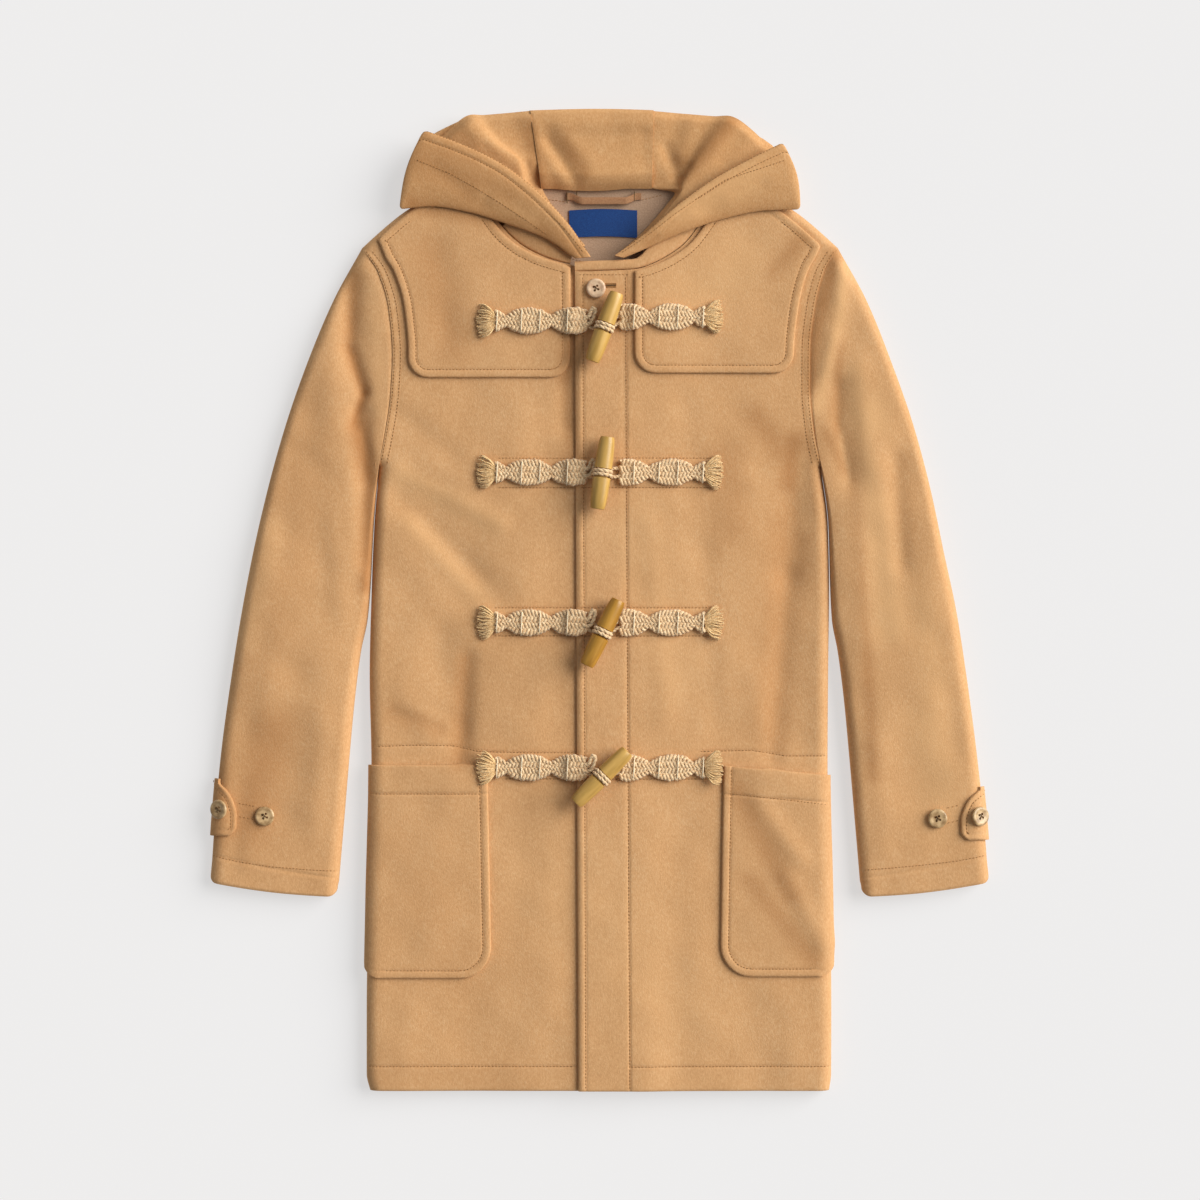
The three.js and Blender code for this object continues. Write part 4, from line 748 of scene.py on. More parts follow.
class Finish(Enum):
    """Every finish of the coat."""

    MELTON = Melton()
    # The hood's melton is a slightly darker copy of the same cloth: painted shade for the folded hood.
    MELTON_HOOD = Melton("melton_wool_brushed_hood", "#BA8858", "#CC9B69", "#DDB485")
    LINING = PlainCloth("cotton_twill_lining", "#A98A70", "#BC9D83", 900.0, 0.85)
    LOOP = PlainCloth("cotton_twill_loop", "#94694A", "#AA805C", 900.0, 0.9)
    RIBBON = PlainCloth("damask_label_satin", "#10346E", "#164584", 1400.0, 0.5)
    JUTE = PlainCloth("natural_jute_plait", "#C39A6C", "#F4DAB2", 700.0, 0.95, 0.3)
    JUTE_CORD = PlainCloth("natural_jute_cord", "#CBA476", "#F4DCB4", 900.0, 0.95, 0.3)
    JUTE_FRAYED = PlainCloth("natural_jute_frayed", "#C2985F", "#EED09E", 800.0, 0.95, 0.35)
    THREAD = PlainCloth("polyester_sewing_thread", "#96693A", "#AE7F4B", 1500.0, 0.7)
    THREAD_CREAM = PlainCloth("cream_sewing_thread", "#E0CBA6", "#F2E4C8", 1500.0, 0.7)
    BUTTON_PALE = Horn("horn_button_pale", "#C6A180", "#E0C2A0", 260.0)
    BUTTON = Horn("horn_button_mottled", "#9C7B52", "#D0B082", 200.0)
    # Dark thread for the button threads and the loop bars, also used as painted shade: the buttonhole's slit
    # and a line along the hood's left seam.
    SHADE = PlainCloth("cotton_thread_dark", "#5B4327", "#6E5435", 1500.0, 0.8)


MATERIALS: dict[str, bpy.types.Material] = {}


def finish(kind: Finish) -> bpy.types.Material:
    """The material of a finish, made once."""
    if kind.name not in MATERIALS:
        MATERIALS[kind.name] = kind.value.make()
    return MATERIALS[kind.name]


class Panel:
    """A panel of melton in place of one node: a wall between two grids of points.

    A panel has a cut, and its class says what its node is called, its finish and whether it is a tube.
    """

    stem = "back"
    kind = Finish.MELTON
    tube = False

    @property
    def node(self) -> str:
        """The name of the node that the panel stands for."""
        return f"{self.stem}_{self.side.word}"

    def grids(self) -> Grids:
        """The panel's outer and inner grids."""
        raise NotImplementedError

    def build(self) -> Array:
        """Makes the panel.

        Returns:
            Its outer face, for the sewing.
        """
        outer, inner = self.grids()
        piece = cloth_wall(f"{self.node}_melton", outer, inner, finish(self.kind), self.tube)
        area = min(grid_area(outer, self.tube), self.most_area())
        self.cut.declare(piece, self.node, "melton", area)
        return outer

    def most_area(self) -> float:
        """The most that the panel's area can be: on a tube, what its cut covers."""
        return self.cut.width * self.cut.length if self.tube else math.inf


@dataclass(frozen=True)
class Groove:
    """A sewn line that sinks into the cloth."""

    line: Line
    depth: float = 0.55
    width: float = 1.0

    def height(self, x: Array, y: Array) -> Array:
        """How much the sewing lowers the cloth at places in the plan."""
        return -self.depth * bell(place_distance(x, y, self.line), self.width)


def edge_profile(inside: Array, band: float = STITCH_IN, crown: float = 0.24, sink: float = 0.4) -> Array:
    """How a turned and topstitched edge stands: rounded at its rim, full over its seam, sunk at the sewing.

    Args:
        inside: Distance inwards from the edge.
        band: Distance from the edge to the sewing.
        crown: How full the band is.
        sink: How deep the sewing sinks.

    Returns:
        What the edge adds to the cloth's height.
    """
    full = crown * np.sin(np.pi * np.clip(inside / band, 0, 1))
    return rounding(inside, 1.7, 1.2) + full - sink * bell(inside - band, 0.95)


def armhole_point(side: Side, y: float, height: Height, inset: float) -> tuple[float, float, float]:
    """The inner wall's end at the armhole, within the seam's own surface.

    Args:
        side: The side of the coat.
        y: Where on the armhole the point is.
        height: The height function of the wall that ends there.
        inset: Distance from the body's edge.

    Returns:
        The point.
    """
    under = -1 if height is back_height else 1
    if y in (ARMPIT_Y, TIP_Y):
        along = CLOTH if y == ARMPIT_Y else -CLOTH
        drop = under * 0.2
    else:
        before, after = max(ARMPIT_Y, y - 0.8), min(TIP_Y, y + 0.8)
        ends = np.array((before, after))
        low, high = height(side, reach(side, ends), ends)
        slope = (high - low) / (after - before)
        length = math.hypot(1, slope)
        along, drop = under * slope * CLOTH / length, -under * CLOTH / length
    z = float(height(side, reach(side, y), np.array(y))) + drop
    return side.value * (float(reach(side, y + along)) + inset), y + along, z


def body_rows(side: Side, y: Array, inner: Array, columns: Array, least: float = 0.35) -> Array:
    """Half widths of a body panel's rows: fixed columns, crowded where the neck cuts in, then the turn.

    Args:
        side: The side of the coat.
        y: The rows.
        inner: Each row's inner edge.
        columns: The columns' places in the middle of the panel.
        least: Smallest distance between columns.

    Returns:
        One row of places for each y.
    """
    rows = []
    for row_y, start in zip(y, inner):
        outer = float(reach(side, row_y))
        turn = min(1.0, (outer - start) * 0.6 / ROLL)
        end = outer - ROLL * turn
        count = len(columns)
        near = min(least, (end - start) / count)
        number = np.arange(count)
        flat = np.minimum(np.maximum(columns, start + number * near), end - (count - number) * near)
        flat[0] = start
        rows.append(np.concatenate((flat, [end], (outer - turn_places() * turn)[::-1])))
    return np.array(rows)


def body_walls(side: Side, y: Array, halves: Array, height: Height) -> Grids:
    """The outer and inner grids of a body panel.

    Args:
        side: The side of the coat.
        y: The rows.
        halves: Each row's half widths.
        height: The outer face's height function.

    Returns:
        The two grids.
    """
    rows = np.broadcast_to(y[:, None], halves.shape)
    outer = np.stack((side.value * halves, rows, height(side, halves, rows)), axis=-1)
    inner = outer - body_normal(side, halves, rows, height) * CLOTH
    inner[:, -1] = outer[:, -1] - np.array((side.value * CLOTH, 0, 0))
    for r, row_y in enumerate(y):
        if ARMPIT_Y <= row_y <= TIP_Y:
            inner[r, -1] = armhole_point(side, float(row_y), height, 0.0)
    return outer, inner


@dataclass(frozen=True)
class FrontPanel(Panel):
    """A front: from the hem to the neck seam, with its free edge, its sewn lines and its armhole."""

    side: Side
    columns_from: float
    sewn_x: tuple[float, ...]
    grooves: tuple[Groove, ...]
    sewn_rows: tuple[float, ...]
    cut: Cut = Cut(206, 727, ("back",))
    stem = "front"

    def height(self, side: Side, half: Array, y: Array) -> Array:
        """Height of this front's outer face with its sewing."""
        x = side.value * half
        height = front_height(side, half, y)
        for groove in self.grooves:
            height = height + groove.height(x, y)
        beside = reach(side, y) - half
        sewn = smooth(y, ARMPIT_Y + 4, ARMPIT_Y + 16) * (1 - smooth(y, TIP_Y - 10, TIP_Y))
        full = 0.25 * np.sin(np.pi * np.clip(beside / STITCH_IN, 0, 1))
        height = height + sewn * (full - 0.4 * bell(beside - STITCH_IN, 1.0))
        if side is Side.RIGHT:
            inside = np.maximum(half - LAP_EDGE[side](y), 0)
            height = height + np.where(y < NECK_Y, edge_profile(inside), 0)
        return height + rounding(y - HEM_Y, 2.2, 1.3)

    def grids(self) -> Grids:
        """The front's outer and inner grids."""
        side = self.side
        low = spaced(HEM_Y, 259, 3.6, self.sewn_rows)
        low = np.sort(np.concatenate((low, HEM_Y + np.array((0.3, 0.9, 1.8)))))
        hole = np.sort(stations(ARMPIT_Y, TIP_Y, 3.4))
        # The rows are close where the neck seam cuts in steeply.
        y = np.concatenate((low[low < ARMPIT_Y - 0.4], hole[hole < 260], np.arange(NECK_Y, 276, 0.7),
                            hole[hole > 276], np.arange(TIP_Y + 2.6, 331, 2.6), [332]))
        inner = np.where(y < NECK_Y, LAP_EDGE[side](y), NECK_SEAM[side](np.maximum(y, NECK_Y)))
        columns = spaced(self.columns_from, 172, 3.4, self.sewn_x)
        return body_walls(side, y, body_rows(side, y, inner, columns), self.height)


# The sewn lines across the fronts, above the pockets.
POCKET_LINE = {
    Side.LEFT: ((-177.3, -117), (-150, -116), (-117.4, -116.4), (-96.6, -121), (-60, -122), (-21, -122)),
    Side.RIGHT: ((80, -121), (121, -120), (149, -124.6), (181, -124.6)),
}
HEM_STITCH_Y = -372.8
PLACKET_X = -11.2
FACING_X = 24.0
# The facing's sewing leans to the left by this much at the neck.
FACING_LEAN = 3.6
# The sewn lines above and below the braids: their height and their two ends.
BRAID_LINES = (
    (113.4, -81.4, 90.0), (89.7, -81.4, 90.0), (-6.2, -84.5, 89.3), (-28.7, -84.5, 89.3), (-143.0, -76.0, 97.0),
)


def across(y: float, x1: float, x2: float) -> Line:
    """A level line."""
    return ((x1, y), (x2, y))


def front_panels() -> tuple[FrontPanel, FrontPanel]:
    """The two fronts with all their sewn lines."""
    rows = tuple(y for y, _, _ in BRAID_LINES) + (HEM_STITCH_Y,)
    left = [Groove(across(HEM_STITCH_Y, -186, 18)), Groove(POCKET_LINE[Side.LEFT])]
    left += [Groove(across(y, x1, -21), 0.5, 0.9) for y, x1, _ in BRAID_LINES]
    facing = ((FACING_X, HEM_Y), (FACING_X - FACING_LEAN, NECK_Y))
    right = [Groove(across(HEM_STITCH_Y, FACING_X, 185)), Groove(POCKET_LINE[Side.RIGHT])]
    right += [Groove(facing, 0.6, 1.1)]
    right += [Groove(across(y, -16, x2), 0.5, 0.9) for y, _, x2 in BRAID_LINES]
    return (FrontPanel(Side.LEFT, -18.0, (), tuple(left), rows + (-116.6, -121.4)),
            FrontPanel(Side.RIGHT, -20.0, (PLACKET_X, FACING_X), tuple(right), rows + (-121.0, -124.6)))


@dataclass(frozen=True)
class BackPanel(Panel):
    """The back, flat on the surface, turned up at its sides and bent to the shoulder line at its top."""

    edge_y: float = 320.0
    neck_y: float = 331.0
    neck_half: float = 94.0
    top_rows: int = 9
    cut: Cut = Cut(374, 727, ())
    node = "back"

    def top_y(self, x: Array) -> Array:
        """The back's top edge: the neck line between the shoulder lines."""
        half = np.abs(x)
        shoulder = Curve([self.neck_half] + [row[1] for row in SHOULDER_ROWS[::-1]],
                         [334.4] + [row[0] for row in SHOULDER_ROWS[::-1]])
        neck = lerp(self.neck_y, 334.0, (half / self.neck_half) ** 2)
        return np.where(half < self.neck_half, neck, shoulder(half))

    def half_walls(self, side: Side) -> Grids:
        """The outer and inner grids of one half of the back."""
        columns = np.array((0, 20, 40, 60, 80, 100, 120, 135, 150, 160), dtype=float)
        low = np.arange(HEM_Y, ARMPIT_Y - 4, 14.0)
        y = np.concatenate((low, np.sort(stations(ARMPIT_Y, TIP_Y, 7))))
        halves = body_rows(side, y, np.zeros(len(y)), columns, 2.0)
        outer, inner = body_walls(side, y, halves, back_height)
        edge = float(reach(side, self.edge_y))
        tops, unders = [], []
        for i in range(1, self.top_rows + 1):
            share = i / self.top_rows
            row_y = lerp(TIP_Y, self.edge_y, share)
            full = float(reach(side, row_y))
            places = body_rows(side, np.array([row_y]), np.zeros(1), columns, 2.0)[0]
            bent = row_y + share * (self.top_y(places / full * edge) - self.edge_y)
            away = np.where(places > self.neck_half, self.top_y(places) - bent, ROLL)
            z = (SEAM - GAP / 2) * (1 - roll_share(np.minimum(away, full - places)))
            tops.append(np.stack((side.value * places, bent, z), axis=-1))
            beyond = places > self.neck_half
            turned = 1 - np.sqrt(np.maximum(0, 1 - (z / SEAM) ** 2))
            draw = CLOTH * (z / SEAM) * beyond
            at_end = (i == self.top_rows) & beyond
            at_end[-1] = True
            over = np.where(at_end, z, z + CLOTH * (1 - turned))
            unders.append(np.stack((side.value * (places - draw), bent - draw * 0.7,
                                    np.minimum(over, SEAM - GAP / 2)), axis=-1))
        return np.concatenate((outer, tops)), np.concatenate((inner, unders))

    def grids(self) -> Grids:
        """The back's outer and inner grids."""
        left, right = self.half_walls(Side.LEFT), self.half_walls(Side.RIGHT)
        outer, inner = (np.concatenate((a[:, :0:-1], b), axis=1) for a, b in zip(left, right))
        return outer, inner


@dataclass(frozen=True)
class Sleeve(Panel):
    """A sleeve: a flattened tube from the armhole to the open cuff."""

    side: Side
    cut: Cut = Cut(330, 540, ("back",))
    rings: int = 118
    gap: float = 0.45
    hem_up: float = 22.0
    fullness: float = 3.2
    length: float = 510.0
    stem = "sleeve"
    tube = True

    def ring(self, share: float) -> Array:
        """Places of one ring, from the outer to the inner fold.

        Args:
            share: How far down the sleeve the ring is, from 0 to 1.

        Returns:
            Rows of half width, y, and distance from the nearest fold.
        """
        side = self.side
        outer_y, inner_y = lerp(TIP_Y, CUFF_OUTER_Y, share), lerp(ARMPIT_Y, CUFF_INNER_Y, share)
        start = np.array((float(SLEEVE_OUTER[side](outer_y)), outer_y))
        stop = np.array((float(SLEEVE_INNER[side](inner_y)) + self.gap, inner_y))
        length = float(np.hypot(*(stop - start)))
        bend = max(0.0, 1 - share / 0.4) ** 2
        sag = float(smooth(share, 0.85, 1)) * 2.2
        seam_y = np.sort(stations(ARMPIT_Y, TIP_Y, 4.4))[::-1]
        count = len(seam_y) - 2 * len(turn_places())
        middle = np.linspace(ROLL, length - ROLL, count)
        plan = np.concatenate((turn_places(), middle, (length - turn_places())[::-1]))
        seam_x = reach(side, seam_y) + SEWN
        if share == 0:
            return np.stack((seam_x, seam_y, fold_distance(side, seam_x - SEWN, seam_y)), axis=-1)
        w = plan / length
        tip, pit = float(reach(side, TIP_Y)), float(reach(side, ARMPIT_Y))
        chord = lerp(tip, pit, (TIP_Y - seam_y) / (TIP_Y - ARMPIT_Y))
        x = lerp(start[0], stop[0], w) + bend * (seam_x - SEWN - chord)
        corners = corner_inset(length - plan, 8.0) + corner_inset(plan, 5.0)
        y = lerp(start[1], stop[1], w) - sag * np.sin(np.pi * w) + corners * float(smooth(share, 0.96, 1))
        return np.stack((x, y, np.minimum(plan, length - plan)), axis=-1)

    def grids(self) -> Grids:
        """The outer and inner grids of the tube."""
        side = self.side
        shares = np.concatenate((np.linspace(0, 0.94, self.rings), np.linspace(0.942, 1, 22)))
        places = np.array([self.ring(float(share)) for share in shares])
        half, y, away = places[..., 0], places[..., 1], places[..., 2]
        x = side.value * half
        # The tube is a little fuller in its middle, between the armhole and the cuff's strap.
        full = self.fullness * smooth(shares, 0.02, 0.3) * (1 - smooth(shares, 0.62, 0.8))
        across_share = away / away.max(axis=1, keepdims=True)
        top = cloth_height(x, y) + full[:, None] * (1 - (1 - across_share) ** 2)
        from_end = (1 - shares)[:, None] * self.length
        top = top - 0.6 * bell(from_end - self.hem_up, 1.4) + rounding(from_end, 2.5, 1.2)
        seam = -0.9 * bell(shares[:, None] * self.length, 2.6) * smooth(away, 2, 14)
        over = np.stack((x, y, SEAM + GAP / 2 + (top + seam - SEAM) * roll_share(away)), axis=-1)
        under = np.stack((x, y, (SEAM - GAP / 2) * (1 - roll_share(away))), axis=-1)
        outer = np.concatenate((over, under[:, ::-1]), axis=1)
        inner = moved(outer, -CLOTH, ring=True)
        cols = outer.shape[1]
        for c in range(cols):
            height = front_height if c < cols // 2 else back_height
            inner[0, c] = armhole_point(side, float(outer[0, c, 1]), height, SEWN)
        return outer, inner


def patch_grids(side: Side, halves: Array, y: Array, outline: Line, raise_by: Array | float = 0.0,
                shift: Array | float = 0.0) -> Grids:
    """The grids of a patch that lies on a front, moved out along the front's own slope.

    Args:
        side: The side of the coat.
        halves: Half widths of the patch's points.
        y: Their heights up the coat.
        outline: The patch's sewn edge in the plan, in half widths.
        raise_by: How far each point stands off.
        shift: How far each point is moved along Y.

    Returns:
        The outer and inner grids.
    """
    normal = body_normal(side, halves, y, front_height)
    place = np.stack((side.value * halves, y, front_height(side, halves, y)), axis=-1)
    lift = np.broadcast_to(LIFT + raise_by, halves.shape)
    profile = edge_profile(place_distance(halves, y, outline))
    outer = place + normal * (lift + PATCH + profile)[..., None]
    inner = place + normal * lift[..., None]
    outer[..., 1] += shift
    inner[..., 1] += shift
    return outer, inner


def corner_inset(distance: Array, radius: float) -> Array:
    """How far an edge draws in at a distance from a rounded corner."""
    rest = radius - np.minimum(distance, radius)
    return radius - np.sqrt(np.maximum(0, radius * radius - rest * rest))


def border(halves: Array, y: Array) -> Line:
    """The outline of a grid in half widths, down, across and up, open at its top."""
    left = list(zip(halves[::-1, 0], y[::-1, 0]))
    low = list(zip(halves[0], y[0]))
    right = list(zip(halves[:, -1], y[:, -1]))
    return tuple((float(a), float(b)) for a, b in left + low + right)


def margins(length: float, step: float, both: bool = False) -> Array:
    """Distances along a patch, close together near its first or both edges, which are topstitched."""
    near = np.array((0, 0.35, 0.9, 1.7, 3.0, 4.3, 5.2, 5.9, STITCH_IN, 6.9, 7.6, 8.8))
    stop = length - (near if both else near[:1])[::-1]
    count = max(2, round((stop[0] - near[-1]) / step))
    return np.concatenate((near, np.linspace(near[-1], stop[0], count + 1)[1:-1], stop))


def corner_places(start: float, radius: float, count: int) -> Array:
    """Places over a rounded corner, where its turn is cut into equal angles."""
    return start + radius * (1 - np.cos(np.linspace(0, np.pi / 2, count)))


def sorted_rows(places: Array) -> Array:
    """Places in order, without those that are closer than a fifth of a millimetre to the last."""
    rows = np.unique(np.round(places, 2))
    return rows[np.concatenate(([True], np.diff(rows) > 0.2))]


@dataclass(frozen=True)
class Yoke(Panel):
    """A shoulder patch, topstitched all round."""

    side: Side
    inner: float
    bottom: float
    shoulder_seam: float
    corner: float = 17.0
    inset: float = 12.5
    top: float = 324.0
    cut: Cut = Cut(160, 148, ("front_left_melton",))
    stem = "yoke"

    def grids(self) -> Grids:
        """The patch's outer and inner grids."""
        side = self.side
        y = sorted_rows(np.concatenate((self.bottom + margins(self.top - self.bottom, 2.8),
                                        corner_places(self.bottom, self.corner, 12))))
        draw = corner_inset(y - self.bottom, self.corner)
        neck = np.where(y > 264, NECK_SEAM[side](np.maximum(y, NECK_Y)) + 4, self.inner)
        start = np.maximum(self.inner, neck) + draw
        full = reach(side, np.minimum(y, 272)) - self.inset + 0.4 * np.maximum(0, y - 272)
        stop = np.minimum(full, reach(side, y) - self.shoulder_seam) - draw
        share = margins(118, 2.8, both=True) / 118
        halves = start[:, None] + (stop - start)[:, None] * share
        rows = np.broadcast_to(y[:, None], halves.shape)
        return patch_grids(side, halves, rows, border(halves, rows))


@dataclass(frozen=True)
class Pocket(Panel):
    """A patch pocket: topstitched sides and bottom, a stitched hem at its mouth and a slight gape."""

    side: Side
    top: float
    bottom: float
    inner_top: float
    inner_bottom: float
    slant: float
    gape: float
    creases: tuple[Fold, ...]
    corner: float = 26.0
    hem: float = 23.0
    cut: Cut = Cut(112, 178, ("front_left_melton",))
    stem = "pocket"

    def grids(self) -> Grids:
        """The pocket's outer and inner grids."""
        side = self.side
        y = sorted_rows(np.concatenate((
            self.bottom + margins(60, 3.0), corner_places(self.bottom, self.corner, 14),
            spaced(self.bottom + 40, self.top, 3.0, (self.top - self.hem,)),
            self.top - np.array((0.35, 0.9, 1.7)))))
        up = (y - self.bottom) / (self.top - self.bottom)
        start = lerp(self.inner_bottom, self.inner_top, up) + corner_inset(y - self.bottom, self.corner)
        edge = reach(side, y) - corner_inset(y - self.bottom, 12)
        near = margins(78, 2.8)[:-1] / 78
        flat = start[:, None] + (edge - ROLL - start)[:, None] * np.append(near, 1.0)
        turned = edge[:, None] - np.append(turn_places()[:0:-1], 0.2)
        halves = np.concatenate((flat, turned), axis=1)
        rows = np.broadcast_to(y[:, None], halves.shape)
        share = (halves - start[:, None]) / (edge - start)[:, None]
        mouth = np.clip(1 - (self.top - rows) / 30, 0, None) * np.sin(np.pi * np.minimum(1, share * 1.2))
        soft = sum(crease.height(side.value * halves, rows) for crease in self.creases)
        hem_y = self.top - self.hem
        hem = Groove(((start[-1], hem_y), (edge[-1], hem_y))).height(halves, rows)
        lift = np.maximum(0, mouth) * self.gape + np.maximum(soft, -0.35)
        outline = border(halves, rows)[:len(y) + halves.shape[1]]
        outer, inner = patch_grids(side, halves, rows, outline, lift, self.slant * share * up[:, None])
        outer[..., 2] += hem + 0.35 * smooth(rows, hem_y, hem_y + 4) + rounding(self.top - rows, 1.7, 1.1)
        return outer, inner


# How far a tab's end draws back, by the share of its width from the bottom: a long slant over a corner.
TAB_INSET = Curve((0, 0.05, 0.15, 0.38, 0.6, 0.76, 0.9, 1), (7, 3.4, 0.5, 0.3, 2.8, 6.4, 12.2, 17))


@dataclass(frozen=True)
class CuffTab(Panel):
    """A cuff tab: a stitched strap that wraps the sleeve's outer edge."""

    side: Side
    top: float
    bottom: float
    tip: float
    lift: float = 0.6
    least: float = 3.0
    band: float = 4.6
    cut: Cut = Cut(30, 46, ("sleeve_left_melton",))
    stem = "cuff_tab"

    def grids(self) -> Grids:
        """The tab's outer and inner grids."""
        side = self.side
        near = np.array((0, 0.01, 0.03, 0.06, 0.09, 0.12, 0.14, 0.17, 0.2))
        share = np.concatenate((near, np.linspace(0.25, 0.75, 9), 1 - near[::-1]))
        y = lerp(self.bottom, self.top, share)
        edge = SLEEVE_OUTER[side](y)
        to = np.maximum(self.least, edge - self.tip - TAB_INSET(share))
        places = np.array((0, 0.01, 0.04, 0.09, 0.16, 0.25, 0.36, 0.48, 0.56, 0.63, 0.7, 0.77, 0.84, 0.9, 0.95,
                           0.98, 1))
        inward = to[:, None] * places
        x = side.value * (edge[:, None] - inward)
        y = np.broadcast_to(y[:, None], x.shape)
        base = np.stack((x, y, SEAM + (cloth_height(x, y) - SEAM) * roll_share(inward)), axis=-1)
        tall = (self.top - self.bottom) * np.minimum(share, 1 - share)[:, None]
        inside = np.minimum(tall, to[:, None] - inward)
        outer = moved(base, self.lift + PATCH)
        outer[..., 2] += edge_profile(np.maximum(inside, 0), self.band, 0.3, 0.45) * smooth(inward, 1, 5)
        return outer, moved(base, self.lift)


@dataclass(frozen=True)
class NeckBand(Panel):
    """The narrow band that stands along the front neck seam."""

    side: Side
    start: tuple[float, float]
    widens: tuple[tuple[float, float, float], ...]
    width: float = 7.8
    wall: float = 2.4
    crown: float = 1.2
    sink: float = 0.4
    end_y: float = 300.0
    cut: Cut = Cut(110, 20, ("front_left_melton",))
    stem = "neck_band"

    def grids(self) -> Grids:
        """The band's outer and inner grids."""
        side = self.side
        rows = np.concatenate((np.linspace(NECK_Y, 264, 9)[1:], np.arange(264.8, self.end_y, 1.6)))
        rows = rows[rows > self.start[1] + 0.5]
        seam = np.concatenate(([self.start], np.stack((NECK_SEAM[side](rows), rows), axis=-1)))
        ahead = unit(np.gradient(seam, axis=0))
        inward = np.stack((-ahead[:, 1], ahead[:, 0]), axis=-1)
        share = np.array((0, 0.05, 0.13, 0.25, 0.38, 0.5, 0.62, 0.75, 0.87, 0.95, 1))
        table = np.array(self.widens)
        add = Curve(table[:, 0], table[:, 1])(seam[:, 1])[:, None]
        lift = Curve(table[:, 0], table[:, 2])(seam[:, 1])[:, None]
        off = 0.5 + (self.width + add) * share
        place = seam[:, None] + inward[:, None] * off[..., None]
        base = front_height(side, seam[:, 0], seam[:, 1])[:, None]
        level = base - self.sink + lift * share
        level = level + self.crown * np.sin(np.pi * (0.15 + 0.7 * share)) * (1 - lift / 4)
        rim = rounding(np.minimum(share, 1 - share) * self.width, 1.4, 0.9)
        outer = np.stack((side.value * place[..., 0], place[..., 1], level + rim), axis=-1)
        inner = outer.copy()
        inner[..., 2] = level - self.wall
        return outer, inner


# The folded hood's top edge, from left to right.
HOOD_TOP = Curve((-158, -152, -142, -124, -104, -56, 0, 43, 98, 118, 140, 151, 158),
                 (326, 344, 368, 380, 387.6, 391.2, 392.5, 391.4, 388, 378, 364, 344, 325))


def through_points(knots: Sequence[Array], share: Array) -> Array:
    """A smooth curve through several points, for each of many rows at once.

    Args:
        knots: The rows' first points, second points and so on.
        share: Where to read, from 0 to 1.

    Returns:
        The points, one for each share, in a new axis before the last.
    """
    ends = [2 * knots[0] - knots[1], *knots, 2 * knots[-1] - knots[-2]]
    out = np.empty((len(knots[0]), len(share), 3))
    spans = len(knots) - 1
    for c, at in enumerate(share):
        i = min(int(at * spans), spans - 1)
        w = at * spans - i
        p0, p1, p2, p3 = ends[i:i + 4]
        d0, d1, d2 = (np.maximum(np.linalg.norm(b - a, axis=-1, keepdims=True) ** 0.5, 1e-4)
                      for a, b in ((p0, p1), (p1, p2), (p2, p3)))
        start = ((p1 - p0) / d0 - (p2 - p0) / (d0 + d1) + (p2 - p1) / d1) * d1
        stop = ((p2 - p1) / d1 - (p3 - p1) / (d1 + d2) + (p3 - p2) / d2) * d1
        out[:, c] = (p1 + start * w + (3 * (p2 - p1) - 2 * start - stop) * w * w
                     + (2 * (p1 - p2) + start + stop) * w * w * w)
    return out


# The soft creases of the hood's middle panel.
CENTRE_CREASES = folds((
    (-41, 366, -20, 334, 5, -1.6), (-30, 372, -8, 350, 8, 0.8), (-46, 350, -38, 334, 6, -0.9),
    (6, 384, 26, 352, 12, -0.6), (34, 372, 38, 338, 7, -0.8), (-10, 338, 20, 336, 5, 0.5),
))


@dataclass(frozen=True)
class HoodCentre(Panel):
    """The middle panel of the hood: from the back neck seam, over the folded layers, to the top edge."""

    cut: Cut = Cut(102, 66, ("hood_folds_melton",))
    node = "hood_centre"
    kind = Finish.MELTON_HOOD

    def grids(self) -> Grids:
        """The panel's outer and inner grids."""
        share = np.linspace(0, 1, 46)
        knots = (0, 0.05, 0.14, 0.35, 0.6, 0.82, 0.93, 1)
        row_y = Curve(knots, (331, 336, 343, 355, 370, 382, 389, 392))(share)
        row_z = Curve(knots, (8.6, 13.6, 16.6, 16.4, 17.2, 19.4, 18.6, 15.4))(share)
        left = Curve((0, 0.4, 1), (-47.4, -51, -56))(share)
        right = Curve((0, 0.4, 1), (41.6, 42.2, 42.8))(share)
        across_share = np.linspace(0, 1, 52)
        x = lerp(left[:, None], right[:, None], across_share)
        top = HOOD_TOP(x)
        low = np.minimum(327.6 + 2.2 * ((x + 8) / 31.6) ** 2, 329.4)
        y = lerp(low, top, ((row_y - 331) / 61)[:, None])
        crease = 1.6 * bell(x + 24 + (y - 345) * 0.6, 10) * np.sin(np.pi * share)[:, None]
        z = row_z[:, None] - crease + sum(fold.height(x, y) for fold in CENTRE_CREASES)
        z = z - 0.6 * bell(x - left[:, None], 1.3) - 0.2 * bell(right[:, None] - x, 2.5)
        outer = np.stack((x, y, z), axis=-1)
        return outer, moved(outer, -CLOTH)


